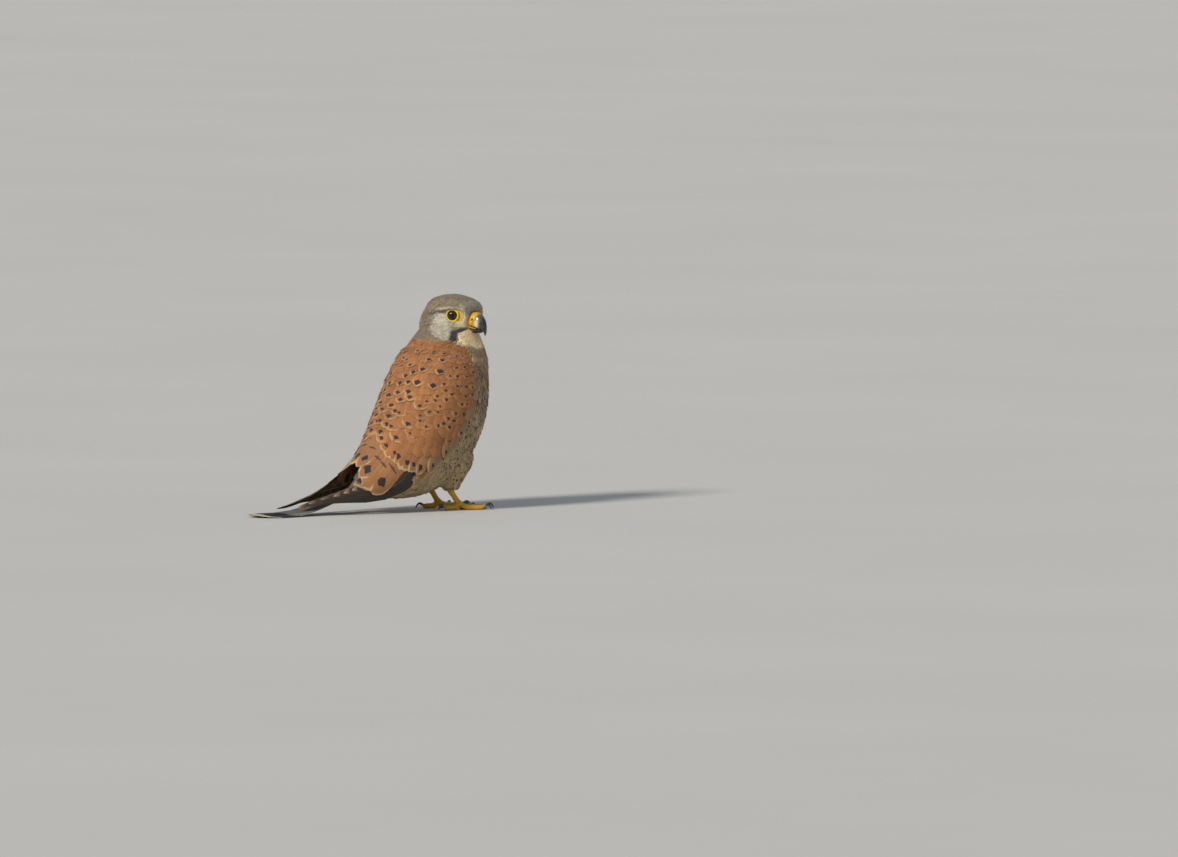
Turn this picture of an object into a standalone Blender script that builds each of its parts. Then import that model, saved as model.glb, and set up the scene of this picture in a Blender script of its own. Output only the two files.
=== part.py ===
"""A life-size common kestrel, an adult male, standing at rest with its head turned to its right.

The bird faces -Y and stands on the floor, z = 0. Its trunk, wings and tail are laid out along one curved
line, the body line, which runs down the back from the base of the neck to the tip of the tail. A place on
the bird is (along, left, back): millimetres down that line, to the bird's left, and out towards its back.
"""

import math

import bmesh
import bpy
from mathutils import Matrix, Vector

MM = 0.001
GAP = 0.3  # air kept between neighbouring pieces

# The body line, in millimetres and degrees below the horizontal.
BODY_SLOPE = 69.0
TAIL_SLOPE = 17.0
BEND_START = 38.0
BEND_END = 172.0
TAIL_ROOT = 150.0
TAIL_TIP = 272.0
TAIL_FLAT_START = 200.0  # from here the tail eases down on to the floor
TAIL_FLAT_END = 250.0
NECK_FORWARD = -12.0  # where the body line starts, ahead of the feet
TAIL_THICKNESS = 3.0
ORIGIN_FORWARD = -93.75  # the part's origin is under the middle of the bird's length

# Sections of the trunk: half width, depth to the back, depth to the belly.
TRUNK = {
    -26: (19, 11, 27),
    -12: (30, 23, 38.5),
    2: (37.5, 30.8, 45.5),
    20: (42.2, 36.6, 52.3),
    40: (44.3, 39.8, 57.2),
    62: (44.9, 40.9, 58),
    85: (42.9, 39.9, 52.8),
    105: (39.3, 35.8, 43.8),
    125: (30.5, 25, 29.5),
    145: (21, 13.5, 15.5),
    165: (14, 6, 6.5),
    185: (12, 2.2, 3.2),
}

# Sections of the folded wings' outer surface: half width, height, drop, rise above the body line, and the
# angles round from the back at which the upper and the lower edge lie.
WING = {
    -8: (33, 26, 38, 0, 62, 80),
    0: (38, 31, 45, 0, 45, 98),
    12: (42, 35.5, 51, 0, 33, 104),
    35: (45, 40.5, 56, 0, 24, 109),
    60: (46, 42, 56, 0, 17, 111),
    85: (44, 41, 51, 0, 11, 109),
    110: (40, 36, 44, 0, 8, 110),
    135: (35, 27.5, 36, 0, 7, 116),
    155: (30, 20.2, 28, 0, 7, 120),
    175: (26, 13.2, 19, 1, 8, 118),
    195: (21.5, 9, 12, 2, 9, 108),
    210: (18.5, 7.8, 6, 3, 12, 92),
    225: (14.5, 6.5, 2, 3.4, 17, 90),
    243: (9, 4.5, 1, 3.6, 30, 86),
}
WING_THICKNESS = 2.6
HOLLOW_DEPTH = 6.0  # how far outside the wing the body is cleared away
COVERT_END = 138.0  # where the flight feathers come out from under the coverts

# Sections of the closed tail: half width and how far its edges droop.
TAIL = {
    TAIL_ROOT: (11.5, 1.0),
    175: (14.6, 1.2),
    200: (19.0, 1.0),
    225: (23.4, 0.6),
    247: (26.5, 0.2),
    TAIL_TIP - 9: (25.5, 0.0),
    TAIL_TIP - 3: (19.5, 0.0),
    TAIL_TIP: (13.0, 0.0),
}

# The head, in its own frame: forward, left and up from its middle.
HEAD_PLACE = (15.5, 0.0, 28.4)  # forward, left, and up from the start of the body line
HEAD_YAW = 75.0  # degrees turned to the bird's right
HEAD_PITCH = 8.0  # degrees bowed
HEAD_SQUARE = 2.45  # how boxy its sections are, 2 being round
HEAD = {  # forward: half width, top, bottom
    -30.4: (6, 7, 11),
    -28.8: (11.8, 11.6, 16),
    -24.5: (16.4, 14.8, 20),
    -17: (19.3, 18.0, 21.5),
    -8: (20.6, 20.2, 22.2),
    2: (20.6, 20.4, 22),
    9: (20.2, 19.5, 20.6),
    13.5: (18.7, 17.2, 17.4),
    16.5: (15.6, 15.0, 14.4),
    18.5: (11.2, 12.2, 11.2),
}
NAPE = 0.4  # how far the back of the head slopes out below, per millimetre down

# The feathered neck between trunk and head. Height above the start of the body line: its middle forward and
# left, and half its length and width, measured along and across the way the head faces.
NECK = {
    -18: (-16, 0, 25, 25),
    -8: (-12, 0, 33.5, 32.5),
    1: (-9.5, 1, 36, 32.5),
    9: (-6, 4, 32, 30),
    16: (-2.5, 8, 27.5, 26),
    23: (0, 7, 24, 22),
    29: (1, 5, 19, 16),
}
CERE_BACK = 17.5
CERE_FRONT = 24.3
BILL = {  # forward: half width, culmen, cutting edge
    CERE_BACK - 2: (6.7, 7.4, -4.2),
    CERE_BACK + 1.5: (6.6, 8.1, -4.3),
    CERE_FRONT - 1: (5.9, 8.1, -4.5),
    CERE_FRONT + GAP: (5.5, 7.6, -4.5),
    27.2: (4.9, 6.2, -4.8),
    29.8: (3.9, 3.2, -5.5),
    31.8: (2.6, -1.2, -7.2),
    32.7: (1.4, -5.6, -9.2),
    32.4: (0.35, -9.2, -10.6),
}
LOWER_BILL = {  # forward: half width, top, keel
    CERE_BACK - 3: (5.2, -5.3, -9.8),
    22: (4.6, -5.3, -9.6),
    26: (3.4, -5.6, -9.0),
    28.6: (1.6, -6.3, -8.3),
}
EYE_RADIUS = 6.2
EYE_PLACE = (6.2, 14.9, 4.3)

# Legs and feet.
HIP = (-16.0, 19.5, 62.0)  # forward, left, up
ANKLE = (-15.0, 15.5, 16.5)
FOOT = (-7.0, 16.0, 5.2)
THIGH = {0.0: 9.0, 0.15: 16.5, 0.35: 19.5, 0.6: 16.5, 0.8: 11.0, 1.0: 6.3}  # share of the way down: radius
TARSUS_RADIUS = 2.5
TOE_RADIUS = 2.5
TOE_SINK = 0.45  # how much of the pad is worn flat against the floor
TOES = {  # name: turn from straight ahead, length
    "inner": (-24.0, 20.0),
    "middle": (3.0, 28.0),
    "outer": (32.0, 21.0),
    "hind": (176.0, 15.0),
}
CLAW_LENGTH = 9.0
CLAW_RADIUS = 1.25

RING = 24  # points round the trunk

MATERIALS = {  # colour, roughness, metallic
    "rufous": ((0.42, 0.20, 0.09, 1), 0.75, 0.0),
    "grey_head": ((0.33, 0.32, 0.29, 1), 0.8, 0.0),
    "buff": ((0.55, 0.43, 0.28, 1), 0.8, 0.0),
    "dark_feather": ((0.055, 0.045, 0.04, 1), 0.6, 0.0),
    "tail_grey": ((0.30, 0.30, 0.30, 1), 0.65, 0.0),
    "yellow_skin": ((0.80, 0.52, 0.06, 1), 0.45, 0.0),
    "horn": ((0.06, 0.07, 0.09, 1), 0.3, 0.0),
    "eye": ((0.012, 0.008, 0.006, 1), 0.08, 0.0),
}


def smooth_step(t):
    t = min(1.0, max(0.0, t))
    return t * t * (3 - 2 * t)


def read_stations(stations, at):
    """Values between named stations, along a smooth curve through them."""
    keys = sorted(stations)
    if at <= keys[0]:
        return stations[keys[0]]
    if at >= keys[-1]:
        return stations[keys[-1]]
    i = max(k for k in range(len(keys) - 1) if keys[k] <= at)
    t = (at - keys[i]) / (keys[i + 1] - keys[i])
    rows = [stations[keys[min(max(j, 0), len(keys) - 1)]] for j in (i - 1, i, i + 1, i + 2)]
    found = []
    for a, b, c, d in zip(*rows):
        bend = 2 * b + (c - a) * t + (2 * a - 5 * b + 4 * c - d) * t**2 + (3 * b - a - 3 * c + d) * t**3
        low, high = min(b, c), max(b, c)
        found.append(min(high + 0.15 * (high - low), max(low - 0.15 * (high - low), bend / 2)))
    return found


def slope_at(along):
    """The body line's angle below the horizontal, in radians."""
    bend = smooth_step((along - BEND_START) / (BEND_END - BEND_START))
    slope = BODY_SLOPE + (TAIL_SLOPE - BODY_SLOPE) * bend
    slope *= 1 - smooth_step((along - TAIL_FLAT_START) / (TAIL_FLAT_END - TAIL_FLAT_START))
    return math.radians(slope)


def body_line_table():
    """(forward, up) at each whole millimetre, from the line's start, with the tail's end on the floor."""
    rows = [(NECK_FORWARD, 0.0)]
    for i in range(int(TAIL_TIP) + 12):
        slope = slope_at(i + 0.5)
        rows.append((rows[-1][0] - math.cos(slope), rows[-1][1] - math.sin(slope)))
    lift = TAIL_THICKNESS / 2 - rows[int(TAIL_TIP)][1]
    return [(forward, up + lift) for forward, up in rows]


BODY_LINE = body_line_table()


def on_line(along):
    """(forward, up) of the body line."""
    if along < 0:
        slope = slope_at(0)
        forward, up = BODY_LINE[0]
        return forward - along * math.cos(slope), up - along * math.sin(slope)
    i = min(int(along), len(BODY_LINE) - 2)
    t = along - i
    (f0, u0), (f1, u1) = BODY_LINE[i], BODY_LINE[i + 1]
    return f0 + (f1 - f0) * t, u0 + (u1 - u0) * t


def world(forward, left, up):
    """Metres in the part's frame, from millimetres in the bird's."""
    return Vector((left, ORIGIN_FORWARD - forward, up)) * MM


def place(along, left, back):
    """A point given along the body line, to the left and out towards the back."""
    forward, up = on_line(along)
    slope = slope_at(along)
    return world(forward - back * math.sin(slope), left, up + back * math.cos(slope))


def head_frame():
    """The matrix from the head's millimetres (forward, left, up) to the part's metres."""
    forward, left, up = HEAD_PLACE
    start_forward, start_up = BODY_LINE[0]
    middle = world(start_forward + forward, left, start_up + up)
    turn = Matrix.Rotation(math.radians(-HEAD_YAW), 4, "Z") @ Matrix.Rotation(math.radians(HEAD_PITCH), 4, "X")
    axes = Matrix(((0, 1, 0, 0), (-1, 0, 0, 0), (0, 0, 1, 0), (0, 0, 0, 1)))
    return Matrix.Translation(middle) @ turn @ axes @ Matrix.Scale(MM, 4)


HEAD_FRAME = head_frame()


def material(name):
    found = bpy.data.materials.get(name)
    if found:
        return found
    colour, roughness, metallic = MATERIALS[name]
    made = bpy.data.materials.new(name)
    made.use_nodes = True
    shader = made.node_tree.nodes["Principled BSDF"]
    shader.inputs["Base Color"].default_value = colour
    shader.inputs["Roughness"].default_value = roughness
    shader.inputs["Metallic"].default_value = metallic
    made.diffuse_color = colour
    return made


def collection(name, hidden=False):
    found = bpy.data.collections.get(name)
    if not found:
        found = bpy.data.collections.new(name)
        found.hide_render = hidden
        bpy.context.scene.collection.children.link(found)
    return found


def add_object(name, mesh, finish=None):
    """A part where a finish is named, and otherwise a hidden cutter."""
    made = bpy.data.objects.new(name, mesh)
    if finish:
        mesh.materials.clear()
        mesh.materials.append(material(finish))
        collection("kestrel").objects.link(made)
    else:
        made.hide_render = True
        made.display_type = "WIRE"
        collection("cutters", hidden=True).objects.link(made)
    return made


def loft(name, rings):
    """A closed mesh through rings with the same number of points, each end closed by one face."""
    bm = bmesh.new()
    rows = [[bm.verts.new(point) for point in ring] for ring in rings]
    count = len(rows[0])
    for near, far in zip(rows, rows[1:]):
        for i in range(count):
            j = (i + 1) % count
            bm.faces.new((near[i], near[j], far[j], far[i]))
    bm.faces.new(rows[0][::-1])
    bm.faces.new(rows[-1])
    bmesh.ops.recalc_face_normals(bm, faces=bm.faces)
    bmesh.ops.triangulate(bm, faces=[f for f in bm.faces if len(f.verts) > 4])
    mesh = bpy.data.meshes.new(name)
    bm.to_mesh(mesh)
    bm.free()
    return mesh


def evaluated_mesh(obj):
    """The object's mesh with its modifiers applied, in the part's frame."""
    bpy.context.view_layer.update()
    graph = bpy.context.evaluated_depsgraph_get()
    mesh = bpy.data.meshes.new_from_object(obj.evaluated_get(graph))
    mesh.transform(obj.matrix_world)
    return mesh


def boolean(obj, operation, other):
    step = obj.modifiers.new(operation.lower(), "BOOLEAN")
    step.operation = operation
    step.object = other
    step.solver = "EXACT"


def round_shading(obj, angle=40):
    obj.data.shade_smooth()
    obj.data.set_sharp_from_angle(angle=math.radians(angle))


def trunk_mesh(grow=0.0):
    steps = (-26, -16, -6, 4, 15, 28, 42, 56, 70, 84, 98, 112, 126, 140, 154, 170, 185)
    rings = []
    for along in steps:
        width, back, belly = (value + grow for value in read_stations(TRUNK, along))
        ring = []
        for k in range(RING):
            angle = 2 * math.pi * k / RING
            depth = back if math.cos(angle) > 0 else belly
            ring.append(place(along, width * math.sin(angle), depth * math.cos(angle)))
        rings.append(ring)
    return loft("trunk_form", rings)


def boxy(angle, power):
    """A point of a rounded square's outline: (across, up), each from -1 to 1."""
    across, up = math.sin(angle), math.cos(angle)
    reach = (abs(across) ** power + abs(up) ** power) ** (-1 / power)
    return across * reach, up * reach


def head_mesh():
    rings = []
    for forward in (-29.5, -28.8, -27, -24, -20, -15, -8, -1, 5, 9, 12, 14.5, 16.5, 18.3):
        width, top, bottom = read_stations(HEAD, forward)
        ring = []
        for k in range(22):
            across, up = boxy(2 * math.pi * k / 22, HEAD_SQUARE)
            height = (top if up > 0 else bottom) * up
            slope_out = NAPE * min(0.0, height - 6) * smooth_step(-forward / 20)
            ring.append(HEAD_FRAME @ Vector((forward + slope_out, width * across, height)))
        rings.append(ring)
    return loft("head_form", rings)


def neck_mesh():
    """Upright sections that turn with the head, from inside the trunk to inside the head."""
    turn = math.radians(HEAD_YAW)
    rings = []
    for height in sorted(NECK):
        forward, left, length, width = NECK[height]
        ring = []
        for k in range(18):
            angle = 2 * math.pi * k / 18
            ahead, aside = length * math.cos(angle), width * math.sin(angle)
            ring.append(world(forward + ahead * math.cos(turn) + aside * math.sin(turn),
                              left - ahead * math.sin(turn) + aside * math.cos(turn), BODY_LINE[0][1] + height))
        rings.append(ring)
    return loft("neck_form", rings)


def thigh_mesh(side, grow=0.0):
    top, low = Vector(HIP), Vector(ANKLE)
    rings = []
    for share in (0.0, 0.08, 0.18, 0.35, 0.5, 0.65, 0.82, 1.0):
        radius = read_stations({k: (v,) for k, v in THIGH.items()}, share)[0] + grow
        middle = top.lerp(low, share)
        if share == 0.0:
            middle.z += grow
        if share == 1.0:
            middle.z -= grow
        ring = []
        for k in range(14):
            angle = 2 * math.pi * k / 14
            forward = middle.x + 1.15 * radius * math.cos(angle)
            left = middle.y + 0.85 * radius * math.sin(angle)
            ring.append(world(forward, side * left, middle.z))
        rings.append(ring)
    return loft("thigh_form", rings)


def tail_mesh(grow=0.0):
    """The closed tail: a thin plate with a rounded end, its edges a little lower than its middle."""
    rings = []
    across = 8
    steps = (TAIL_ROOT, 165, 180, 200, 220, 240, 252, 260, TAIL_TIP - 6, TAIL_TIP - 3, TAIL_TIP)
    for along in steps:
        width, droop = read_stations(TAIL, along)
        thick = (TAIL_THICKNESS if along < 262 else TAIL_THICKNESS * 0.8) / 2
        top, under = [], []
        for k in range(across + 1):
            share = 2 * k / across - 1
            left = share * (width + grow)
            back = -droop * share * share
            edge = thick * (1 - 0.55 * share**4)
            top.append(place(along, left, back + edge + grow))
            under.append(place(along, left, max(back - edge, -TAIL_THICKNESS / 2) - grow))
        rings.append(top + under[::-1])
    return loft("tail_form", rings)


def wing_point(side, along, share, inset=0.0):
    """A point of the folded wing: share is 0 at its upper edge and 1 at its lower one."""
    width, height, drop, rise, upper, lower = read_stations(WING, along)
    angle = math.radians(upper + (lower - upper) * share)
    depth = height if math.cos(angle) > 0 else drop
    left = (width - inset) * math.sin(angle)
    back = rise + max(depth - inset, 0.2) * math.cos(angle)
    return place(along, side * left, back)


def wing_mesh(side, start, end, grow=0.0, outside=0.0):
    """A length of the wing as a curved plate. Its ring runs down the outside and back up the inside."""
    across = 8
    steps = [s for s in (-3, 4, 13, 25, 39, 54, 69, 84, 98, 112, 125, 151, 164, 177, 190, 203, 216, 230)
             if start < s < end]
    rings = []
    for along in [start, *steps, end]:
        thick = WING_THICKNESS if along < 170 else WING_THICKNESS * 0.62
        margin = grow / 40
        shares = [-margin + (1 + 2 * margin) * k / across for k in range(across + 1)]
        outer = [wing_point(side, along, share, -grow - outside) for share in shares]
        inner = [wing_point(side, along, share, thick + grow) for share in shares]
        rings.append(outer + inner[::-1])
    if side < 0:
        rings = [ring[::-1] for ring in rings]
    return loft("wing_form", rings)


def ball(name, middle, radius, segments=16, rings=9):
    bm = bmesh.new()
    bmesh.ops.create_uvsphere(bm, u_segments=segments, v_segments=rings, radius=radius)
    mesh = bpy.data.meshes.new(name)
    bm.to_mesh(mesh)
    bm.free()
    mesh.transform(Matrix.Translation(middle))
    return mesh


def block(name, low, high):
    """A box cutter from its lowest to its highest corner, in metres."""
    bm = bmesh.new()
    bmesh.ops.create_cube(bm, size=1.0)
    size = Vector(high) - Vector(low)
    bmesh.ops.transform(bm, matrix=Matrix.Diagonal((*size, 1)), verts=bm.verts)
    bmesh.ops.translate(bm, vec=(Vector(high) + Vector(low)) / 2, verts=bm.verts)
    mesh = bpy.data.meshes.new(name)
    bm.to_mesh(mesh)
    bm.free()
    return mesh


def tube(name, points, radii, resolution=2):
    """A tapering tube through points in metres, as a closed mesh."""
    curve = bpy.data.curves.new(name, "CURVE")
    curve.dimensions = "3D"
    curve.bevel_depth = 1.0
    curve.bevel_resolution = resolution
    curve.use_fill_caps = True
    spline = curve.splines.new("POLY")
    spline.points.add(len(points) - 1)
    for target, point, radius in zip(spline.points, points, radii):
        target.co = (*point, 1)
        target.radius = radius * MM
    guide = add_object(name + "_guide", curve)
    mesh = evaluated_mesh(guide)
    bpy.data.objects.remove(guide)
    bm = bmesh.new()
    bm.from_mesh(mesh)
    bmesh.ops.remove_doubles(bm, verts=bm.verts, dist=0.00002)
    bmesh.ops.recalc_face_normals(bm, faces=bm.faces)
    bm.to_mesh(mesh)
    bm.free()
    return mesh


def bill_mesh(stations, start, end, steps, grow=0.0):
    """A horn piece of the bill between two stations, in the head's frame."""
    rings = []
    keys = list(stations)
    for i in range(steps + 1):
        position = start + (end - start) * i / steps
        j = min(int(position), len(keys) - 2)
        t = position - j
        near, far = (keys[j], *stations[keys[j]]), (keys[j + 1], *stations[keys[j + 1]])
        forward, width, top, low = (a + (b - a) * t for a, b in zip(near, far))
        middle, half = (top + low) / 2, (top - low) / 2
        ring = []
        for k in range(12):
            angle = 2 * math.pi * k / 12
            left = (width + grow) * math.sin(angle)
            up = middle + (half + grow) * math.cos(angle)
            ring.append(HEAD_FRAME @ Vector((forward, left, up)))
        rings.append(ring)
    return loft("bill_form", rings)


def toe_points(turn, length, side):
    """The middle line of a toe from the ball of the foot, arched and then along the floor."""
    heading = math.radians(turn) * side
    direction = Vector((math.cos(heading), math.sin(heading)))
    start = Vector((FOOT[0], FOOT[1] * side))
    flat = TOE_RADIUS - TOE_SINK
    points = []
    for share in (0.0, 0.14, 0.3, 0.48, 0.66, 0.83, 1.0):
        ground = start + direction * length * share
        up = flat + (FOOT[2] - flat) * (1 - smooth_step(share / 0.32))
        points.append(world(ground.x, ground.y, up))
    return points, direction


def claw_points(turn, length, side):
    """The middle line of a claw: it rises from the toe's end and curves down to the floor."""
    points, direction = toe_points(turn, length, side)
    root = points[-1]
    ahead = Vector((direction.y, -direction.x, 0)) * MM
    found = []
    for i in range(6):
        t = i / 5
        reach = 0.4 + CLAW_LENGTH * 0.86 * math.sin(t * math.radians(84))
        lift = 2.6 * math.sin(math.pi * min(1.0, 0.1 + t * 1.1)) - (TOE_RADIUS - TOE_SINK - 0.45) * t**2
        found.append(root + ahead * reach + Vector((0, 0, lift * MM)))
    return found


def build_feet(side, label):
    """Tarsus and toes in one piece, worn flat where they stand, with a claw on each toe."""
    ankle = world(ANKLE[0], ANKLE[1] * side, ANKLE[2])
    foot = world(FOOT[0], FOOT[1] * side, FOOT[2])
    shank = [ankle.lerp(foot, t) for t in (-0.12, 0.0, 0.35, 0.7, 1.0)]
    shank_radii = [TARSUS_RADIUS + 0.3, TARSUS_RADIUS + 0.5, TARSUS_RADIUS, TARSUS_RADIUS + 0.1, TARSUS_RADIUS + 0.7]
    leg = add_object("foot_" + label, tube("shank", shank, shank_radii), "yellow_skin")
    joins = [add_object("hub", ball("hub", foot, 3.5 * MM, 10, 6))]
    claws = []
    for name, (turn, length) in TOES.items():
        points, _ = toe_points(turn, length, side)
        radii = [TOE_RADIUS * (1.0 if k % 2 else 1.1) * (1 - 0.12 * k / 6) for k in range(7)]
        radii[-1] = TOE_RADIUS * 0.8
        joins.append(add_object("toe_" + name, tube("toe_" + name, points, radii, 2)))
        claws.append((name, claw_points(turn, length, side)))
    for other in joins:
        boolean(leg, "UNION", other)
    floor = add_object("floor_" + label, block("floor", (-0.2, -0.2, -0.05), (0.2, 0.2, 0.0)))
    boolean(leg, "DIFFERENCE", floor)
    for name, points in claws:
        sheath = [CLAW_RADIUS * (1 - t / 5) ** 0.8 + 0.28 for t in range(6)]
        claw = add_object(f"claw_{label}_{name}", tube("claw", points, sheath, 2), "horn")
        round_shading(claw)
        widened = add_object("claw_socket", tube("claw_socket", points, [r + GAP for r in sheath], 2))
        boolean(leg, "DIFFERENCE", widened)
        boolean(claw, "DIFFERENCE", floor)
    round_shading(leg)
    return leg


def build_eyes(head):
    for side, label in ((1, "left"), (-1, "right")):
        forward, left, up = EYE_PLACE
        middle = HEAD_FRAME @ Vector((forward, left * side, up))
        eye = add_object("eye_" + label, ball("eye", middle, EYE_RADIUS * MM), "eye")
        round_shading(eye)
        socket = add_object("socket_" + label, ball("socket", middle, (EYE_RADIUS + GAP) * MM, 14, 8))
        boolean(head, "DIFFERENCE", socket)


def build_bill(head):
    """Cere, upper and lower bill, and the head's own hollow for them."""
    cere = add_object("cere", bill_mesh(BILL, 0, 2, 4), "yellow_skin")
    upper = add_object("bill_upper", bill_mesh(BILL, 3, len(BILL) - 1, 9), "horn")
    lower = add_object("bill_lower", bill_mesh(LOWER_BILL, 0, len(LOWER_BILL) - 1, 7), "horn")
    for piece in (cere, upper, lower):
        round_shading(piece)
    for name, stations, end in (("cere", BILL, 2), ("lower", LOWER_BILL, 3)):
        cutter = add_object("hollow_" + name, bill_mesh(stations, 0, end, 6, GAP))
        boolean(head, "DIFFERENCE", cutter)


def whole_flesh():
    """Trunk, neck and head as one closed mesh."""
    whole = add_object("whole", trunk_mesh())
    boolean(whole, "UNION", add_object("head_form", head_mesh()))
    boolean(whole, "UNION", add_object("neck_form", neck_mesh()))
    return evaluated_mesh(whole)


def slab_between(name, upper, lower):
    """A cutter that holds the body between two distances along the body line."""
    reach = 0.09
    corners = []
    for along in (upper, lower):
        forward, up = on_line(along)
        slope = slope_at(along)
        for back in (-reach, reach):
            for left in (-reach, reach):
                at = world(forward, 0, up)
                out = Vector((0, math.sin(slope), math.cos(slope)))
                corners.append(at + out * back + Vector((left, 0, 0)))
    a, b, c, d, e, f, g, h = corners
    return add_object(name, loft(name, [[a, b, d, c], [e, f, h, g]]))


def build_flesh():
    """The feathered body in named pieces, parted by thin cuts and hollowed for the wings."""
    flesh = whole_flesh()
    regions = {
        "head": (-70.0, -14.0, "grey_head"),
        "neck": (-14.0 + GAP, 6.0, "rufous"),
        "trunk": (6.0 + GAP, 112.0, "buff"),
        "rump": (112.0 + GAP, TAIL_ROOT - GAP, "tail_grey"),
    }
    made = {}
    for name, (start, end, finish) in regions.items():
        piece = add_object(name, flesh.copy(), finish)
        boolean(piece, "INTERSECT", slab_between("slab_" + name, start, end))
        made[name] = piece
    for side, label in ((1, "left"), (-1, "right")):
        wing = add_object("wing_hollow", wing_mesh(side, -8 - GAP, 243, GAP, HOLLOW_DEPTH))
        for name in ("neck", "trunk", "rump"):
            boolean(made[name], "DIFFERENCE", wing)
        thigh = add_object("thigh_" + label, thigh_mesh(side), "buff")
        boolean(thigh, "DIFFERENCE", wing)
        made["thigh_" + label] = thigh
        boolean(made["trunk"], "DIFFERENCE", add_object("thigh_hollow", thigh_mesh(side, GAP)))
    return made


def build_wings():
    for side, label in ((1, "left"), (-1, "right")):
        coverts = add_object("wing_" + label, wing_mesh(side, -8, COVERT_END), "rufous")
        flight = add_object("primaries_" + label, wing_mesh(side, COVERT_END + GAP, 243), "dark_feather")
        round_shading(coverts)
        round_shading(flight)


def build():
    for old in list(bpy.data.objects):
        bpy.data.objects.remove(old)
    flesh = build_flesh()
    build_eyes(flesh["head"])
    build_bill(flesh["head"])
    build_wings()
    tail = add_object("tail", tail_mesh(), "tail_grey")
    round_shading(tail)
    for side, label in ((1, "left"), (-1, "right")):
        leg = build_feet(side, label)
        shank = add_object("shank_hollow", evaluated_mesh(leg))
        boolean(flesh["thigh_" + label], "DIFFERENCE", shank)
    for piece in flesh.values():
        round_shading(piece)


build()
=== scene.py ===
"""A common kestrel, an adult male, with its plumage, bare skin, bill, eyes and feet, on a plain pale floor.

Every small feather is a thin closed vane of its own. The vanes of one tract are joined in one piece. Lengths
are in millimetres unless a name says otherwise, and points handed to Blender are in metres.
"""

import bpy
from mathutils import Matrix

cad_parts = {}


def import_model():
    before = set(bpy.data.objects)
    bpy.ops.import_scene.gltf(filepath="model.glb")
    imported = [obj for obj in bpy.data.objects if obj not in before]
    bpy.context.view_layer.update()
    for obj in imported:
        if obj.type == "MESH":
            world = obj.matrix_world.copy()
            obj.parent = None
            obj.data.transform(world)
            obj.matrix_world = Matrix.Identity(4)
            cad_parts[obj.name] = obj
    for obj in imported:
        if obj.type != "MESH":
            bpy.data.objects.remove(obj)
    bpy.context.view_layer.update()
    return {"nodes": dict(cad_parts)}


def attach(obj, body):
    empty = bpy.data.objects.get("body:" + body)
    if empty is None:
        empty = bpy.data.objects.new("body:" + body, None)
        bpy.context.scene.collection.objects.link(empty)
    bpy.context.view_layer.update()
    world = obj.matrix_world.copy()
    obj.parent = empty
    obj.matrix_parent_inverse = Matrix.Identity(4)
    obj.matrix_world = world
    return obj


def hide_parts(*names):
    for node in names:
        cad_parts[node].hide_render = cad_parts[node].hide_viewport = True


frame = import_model()

import itertools
import math

import bmesh
import bpy
import numpy as np
from mathutils import Matrix, Vector
from mathutils.bvhtree import BVHTree

bl_info = {
    "name": "Common Kestrel",
    "version": (1, 0, 0),
    "blender": (4, 5, 0),
    "location": "View3D > Sidebar > Kestrel",
    "description": "Dresses the kestrel's solids in skin, feathers, horn and eyes",
    "category": "Add Mesh",
}

MM = 0.001
FULL_TURN = 6.2832  # radians, as the materials count them
SIDES = {1: "left", -1: "right"}

# ---------------------------------------------------------------- the bird's measure

# The body line runs down the back from the base of the neck to the tip of the tail.
BODY_SLOPE, TAIL_SLOPE = 69.0, 17.0
BEND_START, BEND_END = 38.0, 172.0
TAIL_ROOT, TAIL_TIP = 150.0, 272.0
TAIL_FLAT_START, TAIL_FLAT_END = 200.0, 250.0
NECK_FORWARD = -12.0
TAIL_THICKNESS = 3.0
ORIGIN_FORWARD = -93.75
LINE_START, LINE_END = -40, 290

# Along the line: half width and depth to the belly.
TRUNK = {
    -26: (19, 27), -12: (30, 38.5), 2: (37.5, 45.5), 20: (42.2, 52.3), 40: (44.3, 57.2), 62: (44.9, 58),
    85: (42.9, 52.8), 105: (39.3, 43.8), 125: (30.5, 29.5), 145: (21, 15.5), 165: (14, 6.5),
    185: (12, 3.2),
}
# Along the line: half width, height, drop, rise and the angle of the lower edge.
WING = {
    -8: (33, 26, 38, 0, 80), 0: (38, 31, 45, 0, 98), 12: (42, 35.5, 51, 0, 104),
    35: (45, 40.5, 56, 0, 109), 60: (46, 42, 56, 0, 111), 85: (44, 41, 51, 0, 109),
    110: (40, 36, 44, 0, 110), 135: (35, 27.5, 36, 0, 116), 155: (30, 20.2, 28, 0, 120),
    175: (26, 13.2, 19, 1, 118), 195: (21.5, 9, 12, 2, 108), 210: (18.5, 7.8, 6, 3, 92),
    225: (14.5, 6.5, 2, 3.4, 90), 243: (9, 4.5, 1, 3.6, 86),
}
HEAD_PLACE = (15.5, 0.0, 28.4)
HEAD_YAW, HEAD_PITCH = 75.0, 8.0
EYE_RADIUS = 6.2
EYE_PLACE = (6.2, 14.9, 4.3)  # forward, left, up in the head's frame
EYE_AXIS = (0.50, 0.86, 0.04)  # the way the left eye looks
ANKLE = (-15.0, 15.5, 16.5)
FOOT = (-7.0, 16.0, 5.2)
TOES = {"inner": (-24.0, 20.0), "middle": (3.0, 28.0), "outer": (32.0, 21.0), "hind": (176.0, 15.0)}
CLAW_LENGTH = 9.0
TOE_FLAT = 2.05  # height of a toe's middle line over the floor


def smooth(value, low, high):
    """0 below low, 1 above high and a smooth rise between; falls instead where low is above high."""
    t = np.clip((np.asarray(value, float) - low) / (high - low), 0, 1)
    return t * t * (3 - 2 * t)


def bump_of(value, middle, half, soft):
    """1 within half of the middle, falling to 0 over soft."""
    return 1 - smooth(np.abs(np.asarray(value, float) - middle), half, half + soft)


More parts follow.
